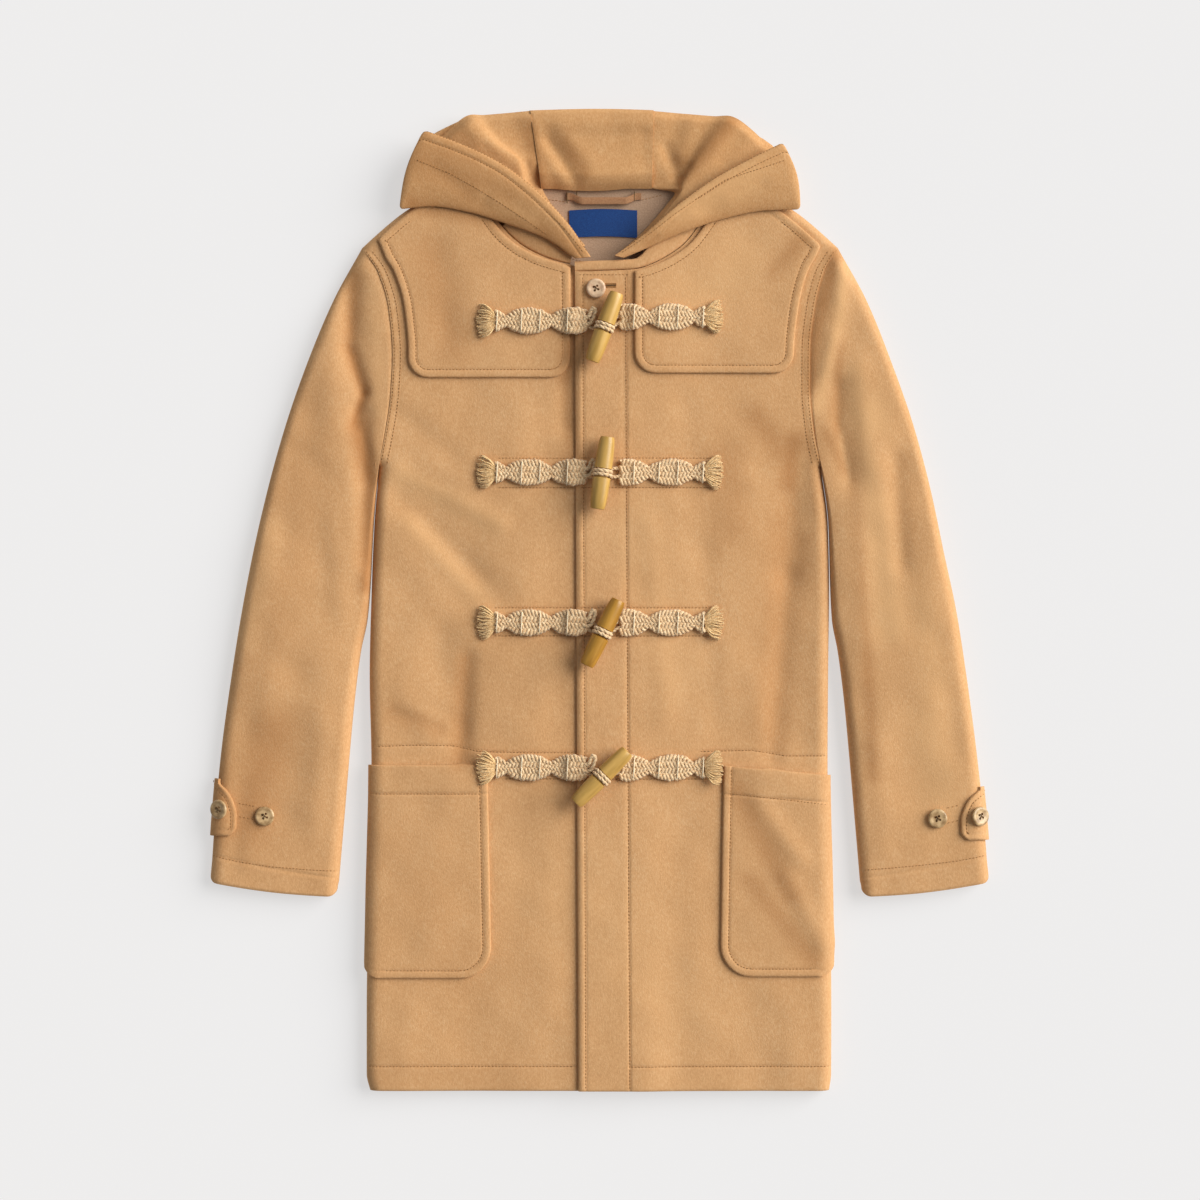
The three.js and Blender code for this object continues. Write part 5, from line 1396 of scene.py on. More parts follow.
# Each side of the hood: its centre seam, the crest of a soft roll and its end under the turned-out brim,
# each as x, y and z. The rows go up the seam.
HOOD_SIDES = {
    Side.LEFT: (
        (-13, 284, 8.5, -16, 282, 11.5, -20, 280, 13.6), (-27, 300, 8.5, -34, 296, 12, -44, 291, 14.6),
        (-47.7, 331, 9, -58, 322, 14.4, -72, 309, 15.6), (-50.6, 350, 15.4, -66, 350.5, 19, -88, 333, 16.2),
        (-53.6, 371, 17.2, -86, 364, 20.6, -107, 346, 16.4), (-56, 385, 19.8, -101, 380, 20.6, -124, 361, 16.4),
        (-56.3, 391, 15.6, -106, 387, 15.4, -129, 368, 13.6),
    ),
    Side.RIGHT: (
        (15.5, 277.5, 8.5, 17.5, 277, 12, 22, 278, 13.6), (33.5, 293, 9, 36, 292.6, 13.4, 44, 291, 14.6),
        (54, 316, 9, 57, 315, 16, 66, 306, 15.4), (61, 326, 9, 65, 326, 18.4, 76, 313, 16),
        (42, 331, 9.4, 68, 334, 18.8, 82, 318, 16.4), (42.4, 350, 15.4, 79, 350, 20.6, 97, 331, 17),
        (42.7, 370, 17, 92, 366, 22, 117, 342, 16.4), (43, 384, 19.4, 103, 379, 22, 136, 352, 16.4),
        (43.2, 390.8, 15.8, 107, 385.6, 17, 141, 358, 13.6),
    ),
}


# The soft creases of the hood's inner faces and of its brims.
HOOD_CREASES = {
    Side.LEFT: folds(((-59, 348, -52, 330, 4, -1.6), (-104, 376, -78, 352, 6, 1.0),
                      (-92, 362, -68, 340, 5, -1.0), (-70, 384, -62, 362, 8, -0.7))),
    Side.RIGHT: folds(((60, 384, 56, 352, 8, -0.8), (52, 362, 62, 340, 5, -1.4), (74, 380, 66, 356, 7, 0.8),
                       (112, 376, 98, 352, 7, -0.9), (60, 338, 70, 346, 4, -1.2))),
}
BRIM_CREASES = {
    Side.LEFT: folds(((-150, 330, -100, 322, 9, 0.9), (-132, 344, -96, 316, 7, -0.6),
                      (-84, 318, -58, 300, 6, 0.7))),
    Side.RIGHT: folds(((150, 332, 104, 318, 9, 0.9), (128, 330, 88, 308, 7, -0.7),
                       (72, 306, 50, 292, 6, 0.7))),
}


def read_rows(table: Sequence[Sequence[float]], at: Array) -> Array:
    """Reads every column of a table at places between its rows."""
    rows = np.array(table, dtype=float)
    number = np.arange(len(rows))
    return np.stack([Curve(number, rows[:, k])(at) for k in range(rows.shape[1])], axis=-1)


@dataclass(frozen=True)
class HoodSide(Panel):
    """An inner face of the hood, which rolls over softly towards the brim."""

    side: Side
    cut: Cut = Cut(74, 150, ("hood_folds_melton",))
    stem = "hood_side"
    kind = Finish.MELTON_HOOD

    def grids(self) -> Grids:
        """The face's outer and inner grids."""
        table = HOOD_SIDES[self.side]
        rows = read_rows(table, np.linspace(0, len(table) - 1, 97))
        start, crest, stop = rows[:, 0:3].copy(), rows[:, 3:6], rows[:, 6:9]
        # The seam's edge is tucked under the middle panel.
        start[:, 0] -= self.side.value * 1.2
        start[:, 2] -= 0.7
        hollow = lerp(start, crest, 0.74)
        hollow[:, 2] -= 3.2 * smooth(np.linalg.norm(crest - start, axis=1), 12, 28)
        outer = through_points((start, hollow, crest, stop), np.linspace(0, 1, 61))
        for fold in HOOD_CREASES[self.side]:
            outer[..., 2] += fold.height(outer[..., 0], outer[..., 1])
        return outer, moved(outer, -CLOTH)


# The turned-out brims: fold x and y, edge x and y, and how far the middle stands up.
BRIMS = {
    Side.LEFT: (
        (-20, 272.4, -7.4, 273.6, 0.2), (-44, 288.5, -24.5, 299, 1.6), (-76, 300.5, -50, 325.5, 2.6),
        (-106, 309.5, -79, 347.5, 3), (-134, 313.8, -110, 362.5, 3), (-160.9, 311.6, -141, 374.2, 2),
    ),
    Side.RIGHT: (
        (19, 272.8, 11.6, 274.6, 0.2), (42, 282.5, 34.5, 291, 1.4), (70, 294.5, 62, 314.5, 2.4),
        (101, 304.6, 92, 336, 3), (131, 310.5, 120, 351.3, 3), (160.9, 311.6, 146.4, 364.4, 2),
    ),
}


@dataclass(frozen=True)
class HoodBrim(Panel):
    """A turned-out brim: from its fold on the shoulder to its free topstitched edge."""

    side: Side
    base: float = 18.6
    roll: float = 11.0
    tilt: float = 4.5
    wall: float = 4.0
    stitch_in: float = 7.0
    length: float = 170.0
    cut: Cut = Cut(66, 190, ("hood_folds_melton",))
    stem = "hood_brim"
    kind = Finish.MELTON_HOOD

    def grids(self) -> Grids:
        """The brim's outer and inner grids."""
        table = BRIMS[self.side]
        along = np.concatenate((np.linspace(0, 0.94, 84), 1 - 0.06 * (1 - np.linspace(0.06, 1, 14)) ** 1.6))
        rows = read_rows(table, along * (len(table) - 1))
        fold, edge, crown = rows[:, 0:2], rows[:, 2:4], rows[:, 4]
        from_end = (1 - along) * self.length
        rounded = corner_inset(from_end, 5.0)[:, None] * unit(edge - fold)
        fold, edge = fold + rounded, edge - rounded
        width = np.linalg.norm(edge - fold, axis=1)
        turn = np.minimum(self.roll, width * 0.4)
        rounds = turn_places() / ROLL
        near_edge = np.array((9.4, 8.4, 7.7, 7.0, 6.3, 5.6, 4.6, 3.2, 1.8, 0.9, 0.35, 0))
        grid = []
        for r in range(len(rows)):
            tail = width[r] - near_edge * min(1.0, (width[r] - turn[r]) / 18)
            middle = np.linspace(turn[r], tail[0], 19)[:-1]
            d = np.concatenate((rounds * turn[r], middle, tail))
            share = np.minimum(roll_share(d, turn[r]), roll_share(from_end[r], 8))
            over = d / width[r]
            flat = fold[r] + (edge[r] - fold[r]) * over[:, None]
            bow = 3.4 * np.sin(np.pi * over) * smooth(along[r], 0.85, 1) * self.side.value
            base = self.base + crown[r] * np.sin(np.pi * over / 1.4)
            base = base + self.tilt * smooth(over, 0.1, 0.9) * smooth(along[r], 0.05, 0.4)
            sewn = edge_profile(width[r] - d, self.stitch_in, 0.3, 0.45) * min(1.0, width[r] / 24)
            grid.append(np.stack((flat[:, 0] + bow, flat[:, 1], base, share, sewn), axis=-1))
        grid = np.array(grid)
        half = self.wall / 2
        top = grid[..., 2] + half + 0.2 + (half - 0.2) * grid[..., 3] + grid[..., 4]
        low = grid[..., 2] + (half - 0.2) * (1 - grid[..., 3])
        x, y = grid[..., 0], grid[..., 1]
        for crease in BRIM_CREASES[self.side]:
            top = top + crease.height(x, y) * grid[..., 3]
        return np.stack((x, y, top), axis=-1), np.stack((x, y, np.minimum(low, top - 1.2)), axis=-1)


@dataclass(frozen=True)
class HoodFolds(Panel):
    """The hidden layers of the folded hood, as one rounded pile that shows its layers at the edges."""

    # The share of its bounding rectangle that the pile covers.
    covers: float = 0.95
    cut: Cut = Cut(318, 66, ("back_melton",))
    node = "hood_folds"

    def build(self) -> Array:
        """Makes the pile.

        Returns:
            Its rings.
        """
        xs = np.array((157, 156, 155, 153, 150, 147, 144.6, 142.6, 138, 131, 124, 114, 104, 92, 82, 66, 50, 32,
                       16, 0))
        tops = Curve((157, 153, 147, 142.6, 124, 104, 16, 0)[::-1],
                     (13, 17.4, 17.2, 10.4, 10.4, 10.8, 10.8, 10.8)[::-1])(xs)
        x = np.concatenate((-xs, xs[-2::-1]))
        top = np.concatenate((tops, tops[-2::-1]))
        inset = Curve((0, 0.1, 0.36, 0.6, 0.8, 0.94, 1), (7, 3.2, 1.6, 3.6, 1.6, 3.4, 10))
        up = np.array((1, 0.98, 0.95, 0.9, 0.85, 0.8, 0.74, 0.68, 0.62, 0.58, 0.52, 0.46, 0.4, 0.34, 0.26, 0.18,
                       0.1, 0.05, 0))
        low = BackPanel().top_y(x) + np.where(np.abs(x) < 100, 0.8, 3)
        front = np.where(np.abs(x) < 100, 12, 5)
        high = HOOD_TOP(x)
        draw = np.minimum(1, (high - low) / 24)
        rings = []
        for r in range(len(x)):
            edge = [(x[r], high[r] - inset(u) * draw[r], u * top[r]) for u in up]
            rings.append(edge + [(x[r], low[r] + 2 * draw[r], 0), (x[r], low[r], top[r] * 0.3),
                                 (x[r], low[r] + front[r] * draw[r], top[r] * 0.9)])
        faces = tube_faces(len(rings), len(rings[0]))
        piece = make_piece("hood_folds_melton", np.array(rings), faces, finish(Finish.MELTON_HOOD), 60)
        self.cut.declare(piece, self.node, "melton", self.cut.width * self.cut.length * self.covers)
        return np.array(rings)


@dataclass(frozen=True)
class NeckInside:
    """What shows inside the open neck: the lining, the hanging loop and the bare woven label."""

    half: float = 68.0
    bottom: float = 262.0
    top: float = 331.3
    thickness: float = 1.2
    base: float = CLOTH + GAP

    def lining(self) -> Array:
        """Makes the lining.

        Returns:
            Its outer face.
        """
        y = np.linspace(self.bottom, self.top, 40)
        share = np.linspace(-1, 1, 60)
        x = share * self.half * (0.62 + 0.38 * smooth(y, self.bottom, 320))[:, None]
        rows = np.broadcast_to(y[:, None], x.shape)
        sag = 0.25 * np.sin(x / 9 + rows / 14) * np.sin(rows / 17)
        outer = np.stack((x, rows, self.base + self.thickness + np.clip(sag, -0.2, 0.2)), axis=-1)
        inner = np.stack((x, rows, np.full(x.shape, self.base)), axis=-1)
        piece = cloth_wall("neck_lining_twill", outer, inner, finish(Finish.LINING))
        Cut(136, 68, ("back_melton",)).declare(piece, "neck_lining", "lining", grid_area(outer))
        return outer

    def label(self) -> None:
        """Makes the label, bare."""
        base = self.base + self.thickness + GAP
        x = np.linspace(-24.8, 29.8, 29)
        rows = np.array((290.4, 290.9, 292.4, 296, 301, 306, 310.4, 311.9, 312.4))
        bow = 0.7 * np.sin(np.pi * np.linspace(0, 1, 29))
        y = rows[:, None] + bow * 1.6
        z = np.broadcast_to(base + 0.8 + bow, y.shape)
        outer = np.stack((np.broadcast_to(x, y.shape), y, z), axis=-1)
        inner = outer - np.array((0, 0, 0.8))
        piece = cloth_wall("label_satin", outer, inner, finish(Finish.RIBBON))
        Cut(54.6, 22, ("neck_lining_twill",)).declare(piece, "label", "ribbon", 54.6 * 22)

    def loop(self) -> None:
        """Makes the hanging loop, sewn down at both ends."""
        base = self.base + self.thickness + GAP
        at = np.linspace(0, 1, 60)
        hang = smooth(at, 0.04, 0.22) * (1 - smooth(at, 0.78, 0.96))
        edge = np.array((-0.5, -0.44, -0.3, 0, 0.3, 0.44, 0.5))
        y = 323.6 - 3.84 * hang + edge[:, None] * 5.6
        x = np.broadcast_to(lerp(-27, 33, at), y.shape)
        crown = 0.35 * (1 - (2 * np.abs(edge)) ** 3)[:, None]
        z = base + 1.25 + 3 * hang + crown
        outer = np.stack((x, y, np.broadcast_to(z, y.shape)), axis=-1)
        inner = outer.copy()
        inner[..., 2] = np.broadcast_to(base + 3 * hang, y.shape)
        piece = cloth_wall("hanger_loop_strip", outer, inner, finish(Finish.LOOP))
        area = min(grid_area(outer), 61 * 10)
        Cut(61, 10, ("neck_lining_twill",)).declare(piece, "hanger_loop", "lining", area)

    def build(self) -> Array:
        """Makes all three.

        Returns:
            The lining's outer face, for the sewing.
        """
        self.label()
        self.loop()
        return self.lining()


def declare_rigid(piece: bpy.types.Object, slot: str, *nodes: str) -> None:
    """Attaches a piece that isn't a sheet to the root, hides the nodes that it stands for and logs it."""
    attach(piece, "root")
    if nodes:
        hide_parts(*nodes)
    LOG.info("%s made", piece.name)


def rotation(turn_z: float = 0.0, turn_y: float = 0.0) -> Array:
    """A turn about Y and then about Z, in radians."""
    cz, sz, cy, sy = math.cos(turn_z), math.sin(turn_z), math.cos(turn_y), math.sin(turn_y)
    about_z = np.array(((cz, -sz, 0), (sz, cz, 0), (0, 0, 1)))
    about_y = np.array(((cy, 0, sy), (0, 1, 0), (-sy, 0, cy)))
    return about_z @ about_y


def take_mesh(piece: bpy.types.Object) -> Shape:
    """Reads a modelled object's points, in millimetres, and faces, and removes it.

    Args:
        piece: An object modelled round the origin, one metre for each millimetre.

    Returns:
        Its points and faces.
    """
    points = np.array([vertex.co[:] for vertex in piece.data.vertices])
    faces = [tuple(face.vertices) for face in piece.data.polygons]
    mesh = piece.data
    bpy.data.objects.remove(piece)
    bpy.data.meshes.remove(mesh)
    return points, faces


def turned_profile(rows: Sequence[tuple[float, float]], sides: int) -> Shape:
    """Turns a profile on a lathe: a disc drawn up row by row and scaled at each.

    Args:
        rows: Radius and height of each ring, from the bottom up.
        sides: Corners of each ring.

    Returns:
        Points in millimetres and faces.
    """
    bpy.ops.object.select_all(action="DESELECT")
    radius, low = rows[0]
    bpy.ops.mesh.primitive_circle_add(vertices=sides, radius=radius, fill_type="NGON", location=(0, 0, low))
    piece = bpy.context.active_object
    bpy.ops.object.mode_set(mode="EDIT")
    bpy.ops.mesh.select_all(action="SELECT")
    for next_radius, height in rows[1:]:
        bpy.ops.mesh.extrude_region_move(TRANSFORM_OT_translate={"value": (0, 0, height - low)})
        ratio = next_radius / radius
        bpy.ops.transform.resize(value=(ratio, ratio, 1.0))
        radius, low = next_radius, height
    bpy.ops.mesh.select_all(action="SELECT")
    bpy.ops.mesh.normals_make_consistent(inside=False)
    bpy.ops.object.mode_set(mode="OBJECT")
    bpy.ops.object.transform_apply(location=True, rotation=True, scale=True)
    return take_mesh(piece)


UP = np.array((0.0, 0.0, 1.0))
Parts = list[Shape]


def tube(path: Array, radius: Array | float, sides: int, across_axis: Array = UP) -> Shape:
    """A round tube along a path, capped at both ends.

    Args:
        path: Points of its middle line.
        radius: Its radius, or one for each point.
        sides: Corners of its section.
        across_axis: A direction that the path never runs along.

    Returns:
        Its points and faces.
    """
    ahead = unit(np.gradient(path, axis=0))
    beside = unit(np.cross(across_axis, ahead))
    over = np.cross(ahead, beside)
    turn = np.arange(sides) * 2 * np.pi / sides
    ring = beside[:, None] * np.cos(turn)[None, :, None] + over[:, None] * np.sin(turn)[None, :, None]
    points = (path[:, None] + ring * np.broadcast_to(radius, len(path))[:, None, None]).reshape(-1, 3)
    return points, tube_faces(len(path), sides)


def joined(parts: Parts) -> Shape:
    """Joins closed shapes into one mesh's points and faces."""
    points, faces, start = [], [], 0
    for part_points, part_faces in parts:
        points.append(part_points)
        faces += [tuple(i + start for i in face) for face in part_faces]
        start += len(part_points)
    return np.concatenate(points), faces


ARM_RADIUS = 1.7
ARM_Z = TOP + LAP + GAP + 0.2 + ARM_RADIUS
TOGGLE_RADIUS = 7.1
TOGGLE_Z = ARM_Z + ARM_RADIUS + GAP + TOGGLE_RADIUS
BRAID_START = {Side.LEFT: -11.0, Side.RIGHT: 16.0}
BRAID_END = {Side.LEFT: -83.4, Side.RIGHT: 83.4}
# The cream stitches that hold each braid down.
BAR_X = {Side.LEFT: (-82.2, -62.6, -48, -26), Side.RIGHT: (27, 47, 62, 82.2)}
# A braid is pinched at this distance from the middle of the coat, and again every so far.
PINCH_X = 39.0
PINCH_STEP = 36.0
# The eye of cord that stands beside each toggle: x, then y and z from the braid's middle.
LOOP_EYE = (
    (-12.5, -3.4, 1.2), (-8, -2.4, 2.0), (-5.2, 2.5, 2.8), (-3.8, 7.6, 3.2), (-5.4, 9.8, 3.2), (-7.6, 7.2, 2.8),
    (-9, 3.2, 2.0), (-12.5, 2.4, 1.2),
)
# The toggles' horn: the dark and the light of each kind.
HORNS = {"ochre": ("#B08A42", "#D0A75A"), "amber": ("#96681D", "#BC8A32")}


def spread(x: Array) -> Array:
    """How far a braid is spread at a place, from 0 at a pinch to 1."""
    return np.abs(np.sin(np.pi * (np.abs(x) - PINCH_X) / PINCH_STEP)) ** 0.7


def support_z(x: Array, y: Array) -> Array:
    """The highest face under a braid: the front, the shoulder patch on it and the lap's step."""
    lap = np.where(x < 0, LAP * smooth(x, -32, -22), lap_height(x))
    patch_edge = np.where(y > 171.6, PATCH + LIFT, 0)
    on_patch = np.where(x < 0, 1 - smooth(x, -24, -14), smooth(x, 20, 28))
    return cloth_height(x, y) + lap + patch_edge * on_patch


@dataclass(frozen=True)
class Fastening:
    """A toggle with its cord, its two plaited jute tabs and their frayed ends."""

    number: int
    x: float
    y: float
    lean: float
    left_y: float
    right_y: float
    grain: str
    length: float = 58.0
    end: float = 5.2
    waist: float = 5.0
    pinch: float = 2.9
    belly: float = 10.3

    def sides(self) -> tuple[tuple[Side, float], ...]:
        """The two sides with the height of the braid on each."""
        return (Side.LEFT, self.left_y), (Side.RIGHT, self.right_y)

    def half_width(self, x: Array) -> Array:
        """Half the width of a braid at a place."""
        return lerp(self.pinch, self.belly, spread(x))

    def centre(self) -> Array:
        """The middle of the toggle."""
        z = TOGGLE_Z + float(cloth_height(np.array(self.x), np.array(self.y))) - TOP
        return np.array((self.x, self.y, z))

    def axis(self) -> Array:
        """The direction of the toggle."""
        lean = math.radians(self.lean)
        return np.array((math.sin(lean), math.cos(lean), 0.0))

    def toggle(self) -> None:
        """Makes the toggle: a barrel of horn, cut flat at its ends, with a groove for the cord."""
        half = self.length / 2

        def barrel(s: float) -> float:
            """The barrel's radius at a distance from its middle."""
            return self.end + (TOGGLE_RADIUS - self.end) * math.sqrt(max(0.0, 1 - (s / half) ** 2 * 0.96))

        rim = barrel(half)
        places = [half * k / 9 for k in range(8, 1, -1)] + [4.6, 3.9]
        low = [(rim - 0.9, -half), (rim - 0.25, 0.25 - half), (rim, 0.9 - half)]
        low += [(barrel(s), -s) for s in places] + [(self.waist + 0.2, -3.3), (self.waist, -2.4)]
        points, faces = turned_profile(low + [(radius, -place) for radius, place in low[::-1]], 40)
        turned = np.stack((points[:, 0], points[:, 2], -points[:, 1]), axis=-1)
        turn = rotation(-math.radians(self.lean))
        horn = Horn(f"horn_toggle_{self.grain}_{self.number}", *HORNS[self.grain], 60.0, (3.0, 0.4, 3.0),
                    math.radians(self.lean), 0.36)
        node = f"toggle_{self.number}"
        piece = make_piece(f"{node}_horn", turned @ turn.T + self.centre(), faces, horn.make(), 40)
        declare_rigid(piece, "toggle", node)

    def cord(self) -> None:
        """Makes the cord: two turns in the toggle's groove and the arms that run to the braids."""
        centre, axis = self.centre(), self.axis()
        across_way = np.array((axis[1], -axis[0], 0.0))
        turn = np.linspace(0, 2 * np.pi, 49)
        parts: Parts = []
        ring = self.waist + 0.5 + 1.3
        for offset in (-1.45, 1.45):
            slant = 0.5 * np.sin(turn)
            path = (centre + axis * offset + across_way * (ring * np.cos(turn))[:, None]
                    + UP * (ring * np.sin(turn))[:, None] + axis * slant[:, None])
            parts += self.plies(path, 1.3, axis, 5)
        under = centre.copy()
        under[2] = ARM_Z + centre[2] - TOGGLE_Z
        for side, y in self.sides():
            apart = 2.4 if side is Side.LEFT else 2.6
            for way in (-1, 1):
                start = under + axis * way * 0.8
                stop = np.array((BRAID_START[side] + side.value * 2.0, y + way * apart, under[2] + 0.3))
                share = np.linspace(0, 1, 15)[:, None]
                path = lerp(start, stop, share) + axis * (way * 1.6 * np.sin(np.pi * share))
                parts += self.plies(path, 1.35, UP, 3)
        eye = np.array([(x, self.left_y + y, under[2] + z) for x, y, z in LOOP_EYE])
        parts += self.plies(read_rows(eye, np.linspace(0, len(eye) - 1, 40)), 1.5, UP, 5)
        piece = make_piece(f"cord_loop_{self.number}_jute", *joined(parts), finish(Finish.JUTE_CORD), 80)
        declare_rigid(piece, "jute", f"cord_loop_{self.number}")

    @staticmethod
    def plies(path: Array, radius: float, across_axis: Array, turns: float) -> Parts:
        """Two plies twisted together along a path.

        Args:
            path: The cord's middle line.
            radius: The cord's radius.
            across_axis: A direction that the path never runs along.
            turns: Turns of the twist over the path.

        Returns:
            The plies as closed shapes.
        """
        ahead = unit(np.gradient(path, axis=0))
        beside = np.cross(across_axis, ahead)
        over = np.cross(ahead, beside)
        phase = np.linspace(0, 2 * np.pi * turns, len(path))[:, None]
        swing = (beside * np.cos(phase) + over * np.sin(phase)) * radius * 0.42
        return [tube(path + way * swing, radius * 0.8, 7, across_axis) for way in (1, -1)]

    def braid(self, side: Side, y: float) -> None:
        """Makes a tab: a jute plait doubled on itself, spread and pinched in turn, with its stitch bars.

        Args:
            side: Which way the tab runs from the toggle.
            y: Its place up the coat.
        """
        start, stop = BRAID_START[side], BRAID_END[side]
        x = np.linspace(start, stop, 130)
        half = self.half_width(x)
        random = np.random.default_rng(10 + self.number * 2 + side.value)
        parts: Parts = []
        for way in (-1, 1):
            middle = y + way * half * 0.48
            width = half * 0.5 * 0.84 + 0.2
            for yarn in range(3):
                phase = 2 * np.pi * (np.abs(x - start) / 8.6 + yarn / 3) + way
                swing = width * np.sin(phase) * 0.98
                rise = 0.8 * np.sin(2 * phase)
                slack = np.interp(x, np.linspace(stop, start, 24)[::side.value * -1], random.normal(0, 0.3, 24))
                z = support_z(x, middle) + GAP + 0.5 + 1.35 + 0.75 + rise
                path = np.stack((x, middle + swing + slack, z), axis=-1)
                parts.append(tube(path, lerp(1.15, 1.7, spread(x)), 6))
        # A flat web of jute closes the plait from below.
        share = np.array((-1, -0.5, 0.0, 0.5, 1))
        web_x = np.linspace(start, stop, 60)[:, None]
        web_y = y + (self.half_width(web_x) - 1) * share
        web_x = np.broadcast_to(web_x, web_y.shape)
        under = support_z(web_x, web_y) + GAP
        heights = (under + 1.6 + 0.6 * (share == 0), under + 0.4)
        web = np.concatenate([np.stack((web_x, web_y, z), axis=-1).reshape(-1, 3) for z in heights])
        parts.append((web, wall_faces(*web_x.shape)))
        node = f"braid_{side.word}_{self.number}"
        piece = make_piece(f"{node}_jute", *joined(parts), finish(Finish.JUTE), 80)
        declare_rigid(piece, "jute", node)

    def bars(self) -> Parts:
        """The cream stitches that hold the braids down."""
        parts = []
        share = np.linspace(-1, 1, 9)
        for side, middle in self.sides():
            for bar_x in BAR_X[side]:
                y = middle + (self.half_width(bar_x) + 0.5) * share
                z = support_z(np.full(9, bar_x), y) + GAP + 5.7 - 3.6 * np.abs(share) ** 6
                parts.append(tube(np.stack((bar_x + 0.5 * share, y, z), axis=-1), 0.5, 6))
        return parts

    def frayed(self, side: Side, y: float) -> None:
        """Makes a frayed end: a folded head and a fan of fibres.

        Args:
            side: Which way the end points.
            y: Its place up the coat.
        """
        way = side.value
        x = BRAID_END[side] + way * GAP
        rise = 4.1 if self.number == 4 else 0.0
        z = float(support_z(np.array(x + way * 8), np.array(y))) + GAP + 0.35
        random = np.random.default_rng(40 + self.number * 2 + way)
        parts: Parts = []
        locks = 66
        for lock in range(locks):
            share = 2 * (lock + 0.5) / locks - 1
            layer = lock % 3
            root = np.array((x + way * 0.3, y + share * 4.6, z + 1.0 + 1.1 * layer + rise * 0.3))
            out = 12.6 * (0.86 + 0.24 * random.random()) - 3.0 * share * share
            tip = np.array((x + way * (1.6 + out), y + share * 13.2 + random.normal(0, 1.0),
                            z + 0.9 + 1.3 * layer * random.random() + rise))
            t = np.linspace(0, 1, 7)[:, None]
            wave = np.sin(t * np.pi * (1.5 + random.random()) + lock) * (0.8 * t)
            bulge = np.array((0, share * 2.6, 1.6)) * np.sin(np.pi * t)
            path = root + (tip - root) * t + np.array((0, 1.0, 0.5)) * wave + bulge
            parts.append(tube(path, np.linspace(1.0, 0.42, 7), 4))
        node = f"frayed_end_{side.word}_{self.number}"
        piece = make_piece(f"{node}_jute", *joined(parts), finish(Finish.JUTE_FRAYED), 80)
        declare_rigid(piece, "jute", node)

    def build(self) -> Parts:
        """Makes the fastening.

        Returns:
            Its stitch bars, for the sewing.
        """
        self.toggle()
        self.cord()
        for side, y in self.sides():
            self.braid(side, y)
            self.frayed(side, y)
        return self.bars()


@dataclass(frozen=True)
class Button:
    """A four-hole horn button with its sewing."""

    node: str
    x: float
    y: float
    lift: float
    lean: float
    kind: Finish
    radius: float = 7.8
    height: float = 3.0
    hole: float = 0.95
    hole_ring: float = 2.1

    def blank(self) -> Shape:
        """The turned and drilled button, round the origin."""
        r, h = self.radius, self.height
        profile = ((r * 0.7, 0), (r * 0.9, 0.3), (r * 0.99, h * 0.35), (r, h * 0.55), (r * 0.97, h * 0.8),
                   (r * 0.9, h * 0.95), (r * 0.8, h), (r * 0.7, h * 0.99), (r * 0.6, h * 0.93),
                   (r * 0.5, h * 0.88), (r * 0.3, h * 0.86))
        points, faces = turned_profile(profile, 48)
        mesh = bpy.data.meshes.new("button_blank")
        mesh.from_pydata(points.tolist(), [], faces)
        blank = bpy.data.objects.new("button_blank", mesh)
        bpy.context.collection.objects.link(blank)
        for k in range(4):
            turn = math.pi / 4 + k * math.pi / 2
            bpy.ops.object.select_all(action="DESELECT")
            bpy.ops.mesh.primitive_cylinder_add(
                vertices=12, radius=self.hole, depth=h * 4,
                location=(self.hole_ring * math.cos(turn), self.hole_ring * math.sin(turn), 0))
            drill = bpy.context.active_object
            select_only(blank)
            cut = blank.modifiers.new("drill", "BOOLEAN")
            cut.operation = "DIFFERENCE"
            cut.solver = "EXACT"
            cut.object = drill
            bpy.ops.object.modifier_apply(modifier="drill")
            drill_mesh = drill.data
            bpy.data.objects.remove(drill)
            bpy.data.meshes.remove(drill_mesh)
        return take_mesh(blank)

    def build(self) -> Parts:
        """Makes the button.

        Returns:
            The threads in its holes, for the sewing.
        """
        turn = (rotation(turn_y=self.lean) @ rotation(0.3)).T
        base = float(cloth_height(np.array(self.x), np.array(self.y))) + self.lift
        place = np.array((self.x, self.y, base))
        points, faces = self.blank()
        piece = make_piece(f"{self.node}_horn", points @ turn + place, faces, finish(self.kind), 45)
        declare_rigid(piece, "button", self.node)
        parts = []
        hole = self.hole_ring * math.cos(math.pi / 4)
        for x1, y1, x2, y2 in ((-hole, -hole, 0.2, 0.3), (hole, -hole, 0.2, 0.3), (0.2, 0.3, -0.2, hole + 0.6)):
            t = np.linspace(0, 1, 5)[:, None]
            path = lerp(np.array((x1, y1, 0.0)), np.array((x2, y2, 0.0)), t)
            path = path + UP * (self.height * 0.9 + 0.25 * np.sin(np.pi * t))
            parts.append(tube(path @ turn + place, 0.36, 5))
        return parts


def stitch(length: float, width: float) -> Shape:
    """One stitch of thread round the origin, along X."""
    turn = np.linspace(0, 1, 4)
    path = np.stack(((turn - 0.5) * length, np.zeros(4), -0.18 * (2 * turn - 1) ** 2), axis=-1)
    return tube(path, np.array((0.5, 1, 1, 0.5)) * width / 2, 5)


